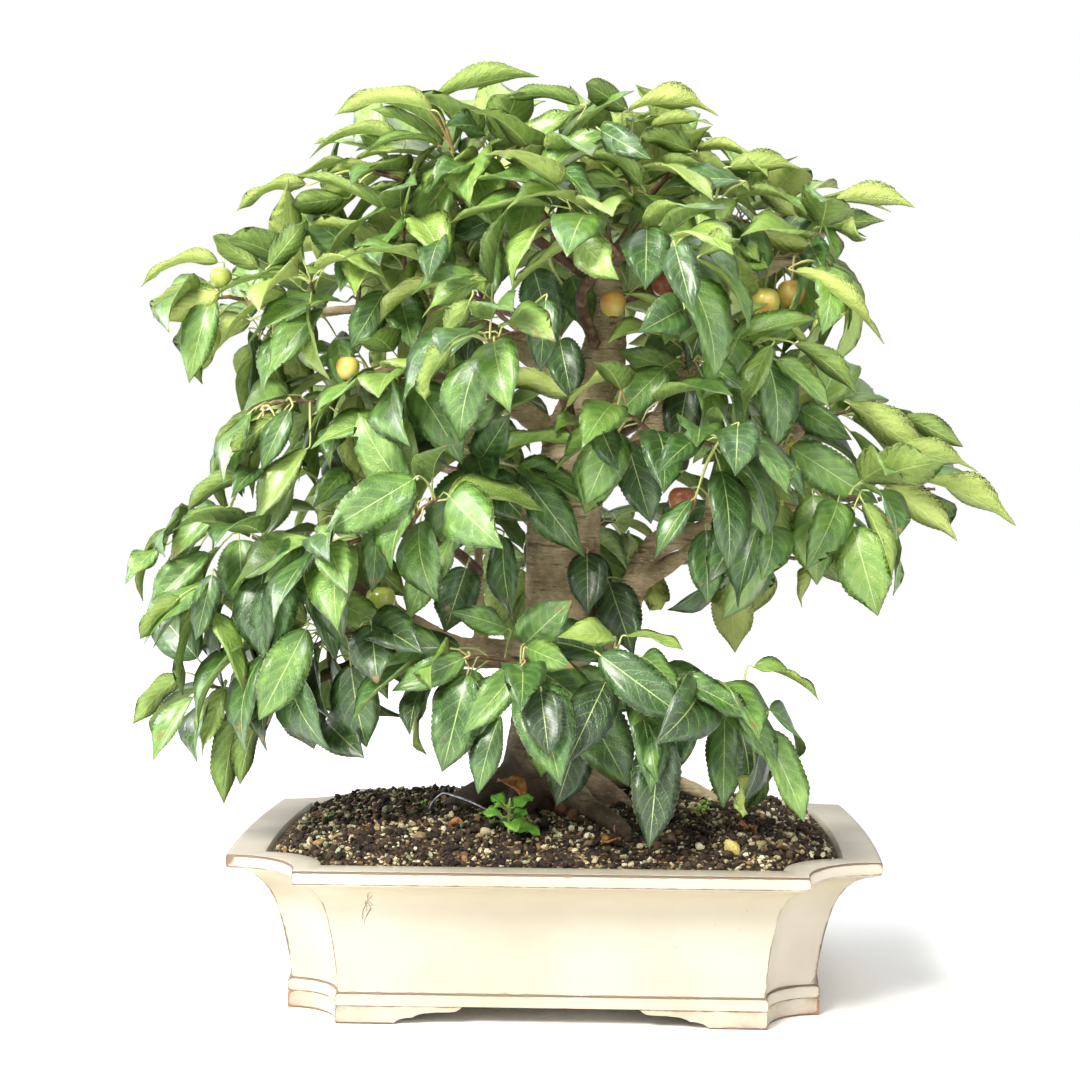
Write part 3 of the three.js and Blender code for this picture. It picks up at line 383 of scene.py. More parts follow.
pot = {
    "halfWidth": 247,
    "halfDepth": 190,
    "cornerScoop": 60,
    "scoopTaper": 0.4,
    "sideBow": 5,
    "cornerSteps": 12,
    "nearEdge": [0.006, 0.02, 0.05, 0.1],  # shares of a side where points crowd at its ends
    "longSteps": 12,
    "shortSteps": 8,
    "footWall": 12,
    "floorUnder": 18,
    "floorTop": 28,
    "drainRadius": 14,
    "drainOffset": 100,
    # [inset from the rim's outer edge, height] up the outside
    "outer": [
        (44, 0), (43.4, 0.6), (43.2, 2), (43.2, 4), (43.2, 11), (43.6, 12.8), (43.6, 13.5), (43, 14.3),
        (43, 16), (43, 20.4), (43.5, 21.8), (44.8, 22.7), (45.5, 24), (45.2, 31), (44.2, 40), (42.5, 50),
        (40.2, 62), (37, 75), (33.9, 85), (30, 93), (25.2, 100), (19, 106), (12, 109.4), (6, 111),
        (2.6, 112), (0.8, 113.2), (0, 115), (0, 120.8), (0.4, 122.2), (1.6, 123),
    ],
    # over the rim and down the inside
    "inner": [
        (4, 123), (14, 122.8), (25, 122.5), (27.4, 121.8), (28.6, 120), (30, 117), (34, 109), (41, 98),
        (51, 60), (54, 28.5), (55.5, 28),
    ],
    # half of the scalloped opening between two feet: [distance from the middle, height]
    "frontArch": [(119, -1), (118, 0), (116.6, 2), (113, 4), (108, 5.2), (103, 5.6), (101, 7), (96, 8.6),
                  (86, 9.6), (76, 9.8), (71, 10.4), (68, 12), (66.5, 13.4), (66, 14)],
    "sideArch": [(69, -1), (68, 0), (66.4, 2), (62, 4.4), (56, 5.8), (52, 7.4), (44, 9), (35, 9.4),
                 (31, 11), (29.6, 13), (29, 14)],
    "breakReach": 2.5,  # mm from an edge where the glaze runs thin
    # [inset, height, how thin it runs there]; the line at 13.5 mm is no break but painted shadow under the
    # band's overhanging step
    "breakAndShadowLines": [(0.4, 122.2, 1.0), (0.8, 113.2, 0.66), (44.8, 22.7, 1.0), (43.6, 13.5, 0.66),
                   (43.4, 0.6, 1.0)],
    "cornerBreak": 0.78,
    "breakStep": 2,
    "cornerStep": 1.5,
    # stains on the band and feet, strongest under its step and at the floor: [share of stainTop, strength]
    "stains": [(0.0, 1.0), (0.25, 0.62), (0.5, 0.42), (0.75, 0.6), (0.93, 0.9), (1.0, 0.0)],
    "stainTop": 0.0142,  # m
    "cornerFrom": 0.215,  # m from the middle
    "cornerTo": 0.25,
    "lipShade": (0.075, 0.108),  # m, where painted shade darkens the glaze under the lip's overhang
    "lipEdge": 0.111,
    "smoothUnder": 34,  # degrees between two faces of a rounded stretch
}


def innerShares(steps):
    # shares of a side between the points that crowd at its ends
    most = pot["nearEdge"][-1]
    return [i / steps for i in range(1, steps) if most < i / steps < 1 - most]


def potOutline(inset, z):
    a, b = pot["halfWidth"] - inset, pot["halfDepth"] - inset
    scoop = pot["cornerScoop"] - pot["scoopTaper"] * inset
    ring = []

    def corner(sx, sy, start):
        for i in range(pot["cornerSteps"] + 1):
            angle = start - math.pi / 2 * i / pot["cornerSteps"]
            ring.append((sx * a + scoop * math.cos(angle), sy * b + scoop * math.sin(angle), z))

    def side(x0, y0, x1, y1, bow, steps):
        ends = pot["nearEdge"]
        for t in ends + innerShares(steps) + [1 - share for share in reversed(ends)]:
            ring.append((x0 + (x1 - x0) * t + bow * 4 * t * (1 - t), y0 + (y1 - y0) * t, z))

    corner(-1, -1, math.pi / 2)
    side(scoop - a, -b, a - scoop, -b, 0, pot["longSteps"])
    corner(1, -1, math.pi)
    side(a, scoop - b, a, b - scoop, pot["sideBow"], pot["shortSteps"])
    corner(1, 1, -math.pi / 2)
    side(a - scoop, b, scoop - a, b, 0, pot["longSteps"])
    corner(-1, 1, 0)
    side(-a, b - scoop, -a, scoop - b, -pot["sideBow"], pot["shortSteps"])
    return np.array(ring)


def archCutter(halfArch, along, reach):
    outline = halfArch + [(-x, z) for x, z in reversed(halfArch)]
    rings = [[(x, end, z) if along == "y" else (end, x, z) for x, z in outline] for end in (-reach, reach)]
    return stackRings("archCutter", rings)


def drainCutter(side):
    place = inFrame((side * pot["drainOffset"], 0, pot["floorTop"]))
    return primitive("cylinder", vertices=32, radius=pot["drainRadius"] * mm, depth=2 * pot["floorTop"] * mm,
                     location=place)


def cornerFlags():
    # which points of an outline lie on its upright edges, where a scoop meets a side
    flags = []
    for steps in (pot["longSteps"], pot["shortSteps"]) * 2:
        flags += [True] + [False] * (pot["cornerSteps"] - 1) + [True]
        flags += [False] * (2 * len(pot["nearEdge"]) + len(innerShares(steps)))
    return np.array(flags)


def insetAt(z):
    insets, heights = zip(*pot["outer"])
    return np.interp(z, heights, insets)


def edgePoints():
    # where the glaze breaks brown, [x, y, z, strength]: rim, lip, base line, feet and upright corners, and a
    # painted shadow line under the band's step
    points = []
    for inset, z, strength in pot["breakAndShadowLines"]:
        ring = potOutline(inset, z)
        for a, b in zip(ring, np.roll(ring, -1, axis=0)):
            steps = max(int(np.linalg.norm(b - a) / pot["breakStep"]), 1)
            points += [[*(a + (b - a) * k / steps), strength] for k in range(steps)]
    for z in np.arange(2, pot["outer"][-1][1], pot["cornerStep"]):
        points += [[*place, pot["cornerBreak"]] for place in potOutline(insetAt(z), z)[cornerFlags()]]
    return np.array(points)


def glazeMaterial():
    # oatmeal glaze on stoneware, dipped and fired: glossy, darkened under the lip by painted shade, and
    # broken to brown where it ran off the edges, with pinholes and iron specks
    material, add, place, shader = startMaterial("oatmealGlaze", Roughness=0.24, IOR=1.5)
    cloud = add("TexNoise", place, 9.0, 4.0)
    cream = add("ValToRGB", cloud, stops=[(0.3, "#b3a996"), (0.5, "#bfb6a5"), (0.72, "#cac3b3")])
    # painted shade: under the lip the cream turns a greyer beige, where the overhang's shadow falls
    height = add("SeparateXYZ", place).outputs["Z"]
    lipShadeRamp = add("MapRange", height, *pot["lipShade"], 0.0, 0.8)
    below = add("Math", height, pot["lipEdge"], operation="LESS_THAN")
    paintedLipShade = add("Math", lipShadeRamp, below, operation="MULTIPLY")
    shaded = add("Mix", paintedLipShade, cream, "#b5a88b", data_type="RGBA")
    fine = add("TexNoise", place, 110.0, 5.0)
    # brown lines where the glaze breaks, and one of painted shadow under the band's step
    breakAndShadow = add("Attribute", attribute_name="glazeBreakAndShadow").outputs["Fac"]
    ragged = add("Math", fine, 0.7, breakAndShadow, operation="MULTIPLY_ADD")
    broken = add("MapRange", ragged, 0.8, 0.98, 0.0, 0.9)
    brown = add("ValToRGB", fine, stops=[(0.35, "#483629"), (0.65, "#745a46")])
    edged = add("Mix", broken, shaded, brown, data_type="RGBA")
    # bare clay and grime on the feet, left by years of damp
    share = add("Math", height, pot["stainTop"], operation="DIVIDE")
    low = add("ValToRGB", share, stops=pot["stains"])
    damp = add("TexNoise", place, 26.0, 7.0, 0.75)
    patchy = add("MapRange", damp, 0.37, 0.58)
    # most of it at the corners, which stood in the wet
    away = add("VectorMath", place, (1.0, 1.1, 0.0), operation="MULTIPLY")
    reach = add("VectorMath", away, operation="LENGTH")
    corner = add("MapRange", reach, pot["cornerFrom"], pot["cornerTo"], 0.3, 1.0)
    placed = add("Math", corner, low, operation="MULTIPLY")
    bare = add("Math", patchy, placed, operation="MULTIPLY")
    clay = add("ValToRGB", fine, stops=[(0.36, "#4d4034"), (0.5, "#8e603d"), (0.66, "#ab7c55")])
    footed = add("Mix", bare, edged, clay, data_type="RGBA")
    # iron specks, one every 15 mm or so and under 1 mm across
    cell = add("TexVoronoi", place, 62.0)
    speck = add("MapRange", cell, 0.03, 0.055, 1.0, 0.0)
    sparse = add("Math", add("SeparateColor", cell.outputs["Color"]), 0.78, operation="GREATER_THAN")
    spot = add("Math", speck, sparse, operation="MULTIPLY")
    specked = add("Mix", spot, footed, "#4f3c28", data_type="RGBA")
    worn = add("Math", broken, bare, operation="MAXIMUM")
    dull = add("MapRange", worn, 0.0, 1.0, 0.24, 0.62)
    relief = add("Bump", 0.18, 0.0006, Height=fine)
    feed(shader, Base_Color=specked, Roughness=dull, Normal=relief)
    return material


def makePot():
    underside = pot["outer"][0][0] + pot["footWall"]
    rings = [potOutline(underside, pot["floorUnder"]), potOutline(underside, 0.4)]
    rings += [potOutline(inset, z) for inset, z in pot["outer"] + pot["inner"]]
    piece = stackRings("pot_body", rings)
    cutAway(piece, archCutter(pot["frontArch"], "y", 2 * pot["halfDepth"]))
    cutAway(piece, archCutter(pot["sideArch"], "x", 2 * pot["halfWidth"]))
    cutAway(piece, drainCutter(-1))
    cutAway(piece, drainCutter(1))
    shadeSmooth(piece, pot["smoothUnder"])
    edges = edgePoints()
    finder = nearestFinder(inFrame(edges))
    breakAndShadow = []
    for corner in piece.data.vertices:
        nearest, k, distance = finder.find(corner.co)
        breakAndShadow.append(edges[k, 3] * max(0.0, 1 - distance / mm / pot["breakReach"]))
    tintPiece(piece, "glazeBreakAndShadow", "FLOAT", "value", breakAndShadow)
    setMaterials(piece, glazeMaterial())
    finishPiece(piece, "glaze", "pot")


potMarks = {
    # firing cracks and pits in the front wall: lines of [x, z] in mm
    "cracks": [
        [(-129.5, 104), (-134, 103), (-135, 97), (-131.5, 92.5), (-136, 91.5), (-137, 86)],
        [(-134, 97), (-139, 88), (-139.5, 81), (-141, 75)],
        [(-132, 92), (-138, 80.5), (-138.5, 73)],
        [(-130.5, 101), (-136.8, 95), (-136, 89), (-139.8, 84.5)],
        [(-135.2, 95.5), (-132.8, 89), (-137.2, 83.2)],
        [(49.6, 71.7), (49.3, 67), (49.8, 63.5)],
    ],
    "pits": [(-148.3, 52.1), (-108.7, 52.7), (120.9, 79.9), (139.4, 76.2), (144, 92), (92, 62)],
    "width": 0.42,  # mm, radius of a crack's line
    "pitWidth": 1.3,  # a pit's radius, in widths of a crack
    "proud": 0.12,  # mm that a line stands in front of the wall
}


def onFrontWall(x, z):
    return [x, insetAt(z) - pot["halfDepth"] + potMarks["width"] - potMarks["proud"], z]


def makePotMarks():
    width, lines = potMarks["width"], []
    for crack in potMarks["cracks"]:
        lines.append([[*onFrontWall(x, z), width] for x, z in crack])
        lines[-1][0][3] = lines[-1][-1][3] = width / 2
    for x, z in potMarks["pits"]:
        lines.append([[*onFrontWall(x, z + rise), width * potMarks["pitWidth"]] for rise in (-width, width)])
    # iron-stained grime in a hairline crack: matt brown
    grime = mottled("crackGrime", 260.0, 2.0, [(0.4, "#6d5a44"), (0.6, "#a3917a")], Roughness=0.9)
    finishPiece(tubes("pot_marks", lines, 0, grime), "glaze")


makePot()
makePotMarks()
print("pot made")

# the soil and what lies on it

soil = {
    "edge": 120,
    "rise": 21,
    "steepness": 2.6,
    "margin": 30,
    "shoreInset": 2.35,
    "grit": 1.6,
    "gritWaves": [(0.31, 0.17), (-0.12, 0.43)],
    "gritFade": 6,
    "rings": 26,
    "roughness": 1.3,  # mm, height of the crumbs that are only relief
    "crumbSize": 0.16,  # 1/mm
    "buried": [(54.35, 28.35), (51.35, 60), (41.35, 98), (30.35, 117)],  # [inset, height] of its sides
}


def soilHeight(x, y):
    reachX = abs(x) / (pot["halfWidth"] - soil["margin"])
    reachY = abs(y) / (pot["halfDepth"] - soil["margin"])
    reach = min(max(reachX, reachY), 1)
    waves = sum(math.sin(x * kx + y * ky) for kx, ky in soil["gritWaves"])
    mound = soil["rise"] * (1 - reach ** soil["steepness"])
    return soil["edge"] + mound + soil["grit"] * waves * (1 - reach ** soil["gritFade"])


def soilMaterial():
    # bark humus with pumice and baked clay: dull, nearly black between pale and tan crumbs
    material, add, place, shader = startMaterial("grittySoil", Roughness=0.95)
    crumbs = add("TexVoronoi", place, 420.0)
    browns = [(0.0, "#1d1510"), (0.45, "#2e2219"), (0.7, "#4a3626"), (0.84, "#6e5436"), (0.93, "#a08a5e"),
              (1.0, "#c2b68c")]
    colour = add("ValToRGB", add("SeparateColor", crumbs.outputs["Color"]), stops=browns)
    feed(shader, Base_Color=colour, Normal=add("Bump", 0.9, 0.002, Height=crumbs, invert=True))
    return material


def makeSoil():
    rings = [potOutline(inset, z) for inset, z in soil["buried"]]
    shore = potOutline(pot["inner"][5][0] - 1 + soil["shoreInset"], soil["edge"] - 0.6)
    rings.append(shore)
    for i in range(1, soil["rings"]):
        ring = []
        for x, y, _ in shore * (1 - i / soil["rings"]):
            crumb = noise.fractal(Vector((x * soil["crumbSize"], y * soil["crumbSize"], 3.1)), 0.9, 2.0, 3)
            ring.append((x, y, soilHeight(x, y) + soil["roughness"] * crumb))
        rings.append(np.array(ring))
    piece = stackRings("soil_mound", rings)
    shadeSmooth(piece, 60)
    setMaterials(piece, soilMaterial())
    finishPiece(piece, "soil", "soil")


grains = {
    "count": 7800,
    "seed": 11,
    # least radius, most radius in mm, share of all, colours
    "kinds": [
        (1.2, 3.8, 0.42, ["#1f1812", "#2c221a", "#3c2f23", "#4d3e2d"]),  # bark crumbs
        (1.1, 3.2, 0.26, ["#bdb08a", "#cbc09d", "#a99d79", "#dcd3b6"]),  # pumice
        (1.1, 3.2, 0.15, ["#a48c62", "#8a6542", "#75563a", "#94794f"]),  # baked clay
        (1.0, 2.8, 0.17, ["#959d74", "#7c8463", "#a8b089"]),  # greenish grit
    ],
    "shapes": 6,
    "inset": 34,  # mm between the pot's edge and the outermost grains
    "corner": 44,  # mm, radius of the scoops that they keep out of
    "cornerOut": 4,
    "lift": 0.39,  # share of its radius that a grain's middle lies above the soil
    "patch": 0.022,  # 1/mm: pale grains lie in drifts some 50 mm across
    "paleLeast": 0.68,
    "drift": 1.2,
}


def gritMaterial():
    # loose crumbs, each of one stone: matt, and speckled at a tenth of their size
    material, add, place, shader = startMaterial("looseGrit", Roughness=0.92)
    own = add("Attribute", attribute_name="stoneColour")
    dark = add("MapRange", add("TexNoise", place, 900.0, 2.0), 0.3, 0.7, 0.62, 1.2)
    feed(shader, Base_Color=add("VectorMath", own, dark, operation="SCALE"))
    return material


def crumbShape(seed, roundness, subdivisions=1):
    # an icosphere whose corners are pushed in and out
    draw = random.Random(seed)
    crumb = primitive("ico_sphere", subdivisions=subdivisions, radius=1.0)
    for corner in crumb.data.vertices:
        corner.co *= 1 + (draw.random() - 0.5) * roundness
    places = np.array([v.co for v in crumb.data.vertices])
    faces = [tuple(f.vertices) for f in crumb.data.polygons]
    bpy.data.objects.remove(crumb)
    return places, faces


def turned(draw):
    # a seeded random turn as a 3 x 3 matrix
    axis = Vector((draw.gauss(0, 1), draw.gauss(0, 1), draw.gauss(0, 1))).normalized()
    return np.array(Quaternion(axis, draw.uniform(0, math.tau)).to_matrix())


def heaped(name, bodies):
    # one mesh of many loose bodies: [places in mm, faces, colour]
    places, faces, colours, base = [], [], [], 0
    for body, bodyFaces, colour in bodies:
        places.append(body)
        faces += [tuple(i + base for i in face) for face in bodyFaces]
        colours += [linear(colour)] * len(body)
        base += len(body)
    piece = meshOf(name, inFrame(np.vstack(places)), faces)
    tintPiece(piece, "stoneColour", "FLOAT_COLOR", "color", colours)
    setMaterials(piece, grit)
    return piece


def scatterGrains():
    draw = random.Random(grains["seed"])
    shapes = [crumbShape(seed, 0.5) for seed in range(grains["shapes"])]
    insideX, insideY = pot["halfWidth"] - grains["inset"], pot["halfDepth"] - grains["inset"]
    limits = np.cumsum([share for least, most, share, colours in grains["kinds"]])
    bodies = []
    while len(bodies) < grains["count"]:
        x, y = draw.uniform(-insideX, insideX), draw.uniform(-insideY, insideY)
        corner = abs(x) - insideX - grains["cornerOut"], abs(y) - insideY - grains["cornerOut"]
        if math.hypot(*corner) < grains["corner"]:
            continue
        kind = grains["kinds"][int(np.searchsorted(limits, draw.random() * limits[-1]))]
        drift = noise.noise(Vector((x * grains["patch"], y * grains["patch"], 7)))
        if draw.random() > grains["paleLeast"] + drift * grains["drift"]:
            kind = grains["kinds"][0]
        least, most, share, colours = kind
        radius = least + (most - least) * draw.random() ** 2
        shape, faces = shapes[draw.randrange(len(shapes))]
        stretch = np.array([draw.uniform(0.8, 1.3), draw.uniform(0.7, 1.0), draw.uniform(0.6, 0.9)])
        body = (shape * stretch) @ turned(draw).T * radius
        body += (x, y, soilHeight(x, y) + radius * grains["lift"])
        bodies.append((body, faces, draw.choice(colours)))
    finishPiece(heaped("soil_grains", bodies), "soil")


makeSoil()
grit = gritMaterial()
scatterGrains()
print("soil made")

# the wood: trunk, branches and surface roots, as lines of [x, y, z, radius]

woodLines = {
    "trunk": [(-22, 14, 92, 44), (-19, 10, 138, 41), (-15, 8, 172, 31), (-11, 6, 212, 28), (2, 2, 294, 30),
              (6, 0, 391, 30), (20, 2, 456, 26), (36, 4, 513, 18), (38, 6, 566, 13), (30, 8, 618, 9)],
    "rightLow": [(5, 0, 270, 17), (40, -6, 283, 14), (60, -10, 318, 12), (79, -12, 355, 11),
                 (120, -14, 369, 9), (131, -15, 400, 8), (165, -18, 421, 7), (194, -20, 451, 5.5)],
    "rightFar": [(62, -12, 322, 8), (91, -25, 341, 6), (112, -30, 356, 5), (158, -32, 386, 4.2),
                 (205, -35, 384, 3.5), (253, -38, 393, 2.6)],
    "rightHigh": [(6, 0, 396, 16), (44, -4, 416, 12), (84, -6, 459, 10), (117, -4, 529, 8),
                  (149, -2, 570, 6.5), (199, 0, 594, 4.5), (214, 2, 611, 3)],
    "leftLow": [(-3, 4, 262, 18), (-45, -8, 265, 13), (-82, -15, 270, 11), (-124, -26, 294, 9),
                (-165, -42, 322, 6.5), (-203, -50, 345, 4.5), (-242, -56, 362, 3)],
    "leftHanging": [(-98, -19, 277, 8), (-138, -36, 268, 6.5), (-173, -46, 255, 5), (-208, -56, 242, 4),
                    (-246, -66, 236, 2.8)],
    "leftUpright": [(-62, -12, 266, 5.5), (-64, -15, 340, 4.2), (-62, -19, 417, 3.2)],
    "leftHigh": [(14, 2, 428, 11), (-40, -10, 470, 8), (-95, -22, 493, 6), (-144, -34, 494, 4.5),
                 (-192, -46, 468, 3)],
    "leftTop": [(24, 2, 470, 11), (-40, 8, 520, 8.5), (-110, 4, 545, 6.5), (-170, -6, 545, 5),
                (-215, -14, 541, 4), (-254, -20, 551, 3)],
}
rootLines = [
    [(-6, -8, 168, 17), (22, -46, 150, 11), (54, -92, 136, 7), (66, -110, 120, 5)],
    [(-20, 0, 168, 18), (-58, -4, 150, 15), (-84, -2, 139, 10), (-104, 0, 118, 6)],
    [(-30, 4, 150, 12), (-66, -18, 142, 4.5), (-98, -34, 136, 3), (-110, -40, 122, 2.5)],
    [(0, 20, 176, 16), (44, 42, 160, 11), (96, 58, 152, 7), (130, 64, 138, 5.5), (146, 68, 118, 4)],
    [(0, 6, 168, 18), (38, 2, 148, 15), (66, -4, 128, 9), (80, -6, 112, 6)],
    [(-20, 20, 168, 18), (-40, 62, 146, 13), (-52, 92, 132, 8), (-58, 112, 114, 5)],
    [(-18, -6, 164, 17), (-30, -44, 143, 11), (-38, -62, 126, 7), (-42, -76, 108, 4)],
]
wood = {
    "voxel": 2.2,  # mm
    "trunkSteps": 40,
    "rootSteps": 18,
    "branchSteps": 6,  # for each row of a branch
    "lump": 2.0,  # mm, slow swells of the bole
    "ridge": 0.55,  # mm, the creases of the bark
    "lumpSize": 26,
    "ridgeSize": 7.5,
    "ridgeHeight": 2.2,  # the creases run level: this much shorter than wide
    # m: humus darkens the foot of the trunk fully up to the first height, fading out by the second, in
    # splashes; painted shade takes it higher on the left
    "dampAndShadeFrom": 0.198,
    "dampAndShadeTo": 0.285,
    "shadeSlant": 0.75,  # painted shade: the dark reaches higher on the trunk's shaded left side
    "splash": 0.08,
}


def barkMaterial():
    # smooth apple bark: tan with grey and olive clouds, thin level creases, and pale pores in rows
    material, add, place, shader = startMaterial("appleBark", Roughness=0.8)
    broad = add("TexNoise", place, 30.0, 7.0, 0.65)
    tans = [(0.25, "#66563f"), (0.4, "#8b795b"), (0.52, "#ac9977"), (0.64, "#c9b795"), (0.78, "#a8a484")]
    base = add("ValToRGB", broad, stops=tans)
    level = add("Mapping", place, Scale=(1.0, 1.0, 6.0))
    creases = add("TexNoise", level, 42.0, 4.0, Distortion=0.6)
    thin = [(0.36, 0.7), (0.42, 0.0), (0.485, 0.0), (0.5, 0.5), (0.515, 0.0)]
    dark = add("Mix", add("ValToRGB", creases, stops=thin), base, "#5a4330", data_type="RGBA")
    pores = add("TexVoronoi", add("Mapping", place, Scale=(1.0, 1.0, 3.4)), 120.0)
    pale = add("ValToRGB", pores, stops=[(0.14, 0.8), (0.24, 0.0)])
    pored = add("Mix", pale, dark, "#cdb893", data_type="RGBA")
    # the foot of the trunk is dark with damp and splashed humus, and with painted shade on its left side
    parts = add("SeparateXYZ", place).outputs
    slanted = add("Math", parts["X"], wood["shadeSlant"], parts["Z"], operation="MULTIPLY_ADD")
    ragged = add("Math", broad, wood["splash"], slanted, operation="MULTIPLY_ADD")
    low = add("MapRange", ragged, wood["dampAndShadeFrom"], wood["dampAndShadeTo"], 0.94, 0.0)
    footed = add("Mix", low, pored, "#33261b", data_type="RGBA")
    height = add("Math", creases, pores, operation="SUBTRACT")
    feed(shader, Base_Color=footed, Normal=add("Bump", 0.6, 0.0012, Height=height))
    return material


def roughenBark(piece):
    count = len(piece.data.vertices)
    places, normals = np.zeros(count * 3), np.zeros(count * 3)
    piece.data.vertices.foreach_get("co", places)
    piece.data.vertices.foreach_get("normal", normals)
    places, normals = places.reshape(-1, 3), normals.reshape(-1, 3)
    tall = np.array([1, 1, wood["ridgeHeight"]]) / wood["ridgeSize"]
    for i in range(count):
        spot = places[i] / mm
        broad = noise.noise(Vector(spot / wood["lumpSize"]))
        fine = noise.fractal(Vector(spot * tall), 0.8, 2.1, 3)
        places[i] += normals[i] * (wood["lump"] * broad + wood["ridge"] * fine) * mm
    piece.data.vertices.foreach_set("co", places.ravel())
    piece.data.update()


def makeTrunk():
    bole, *branches = woodLines.values()
    lines = [sampledRows(bole, wood["trunkSteps"])]
    lines += [sampledRows(rows, wood["branchSteps"] * len(rows)) for rows in branches]
    lines += [sampledRows(rows, wood["rootSteps"]) for rows in rootLines]
    piece = tubes("trunk_bark", lines, 6, barkMaterial())
    modify(piece, "REMESH", mode="VOXEL", voxel_size=wood["voxel"] * mm)
    modify(piece, "SMOOTH", iterations=4)
    roughenBark(piece)
    for face in piece.data.polygons:
        face.use_smooth = True
    finishPiece(piece, "bark", "trunk")
    print("trunk made,", len(piece.data.polygons), "faces")


makeTrunk()

# the leafy stems: the same shoots and leaves as the solids, finer, with more leaves between

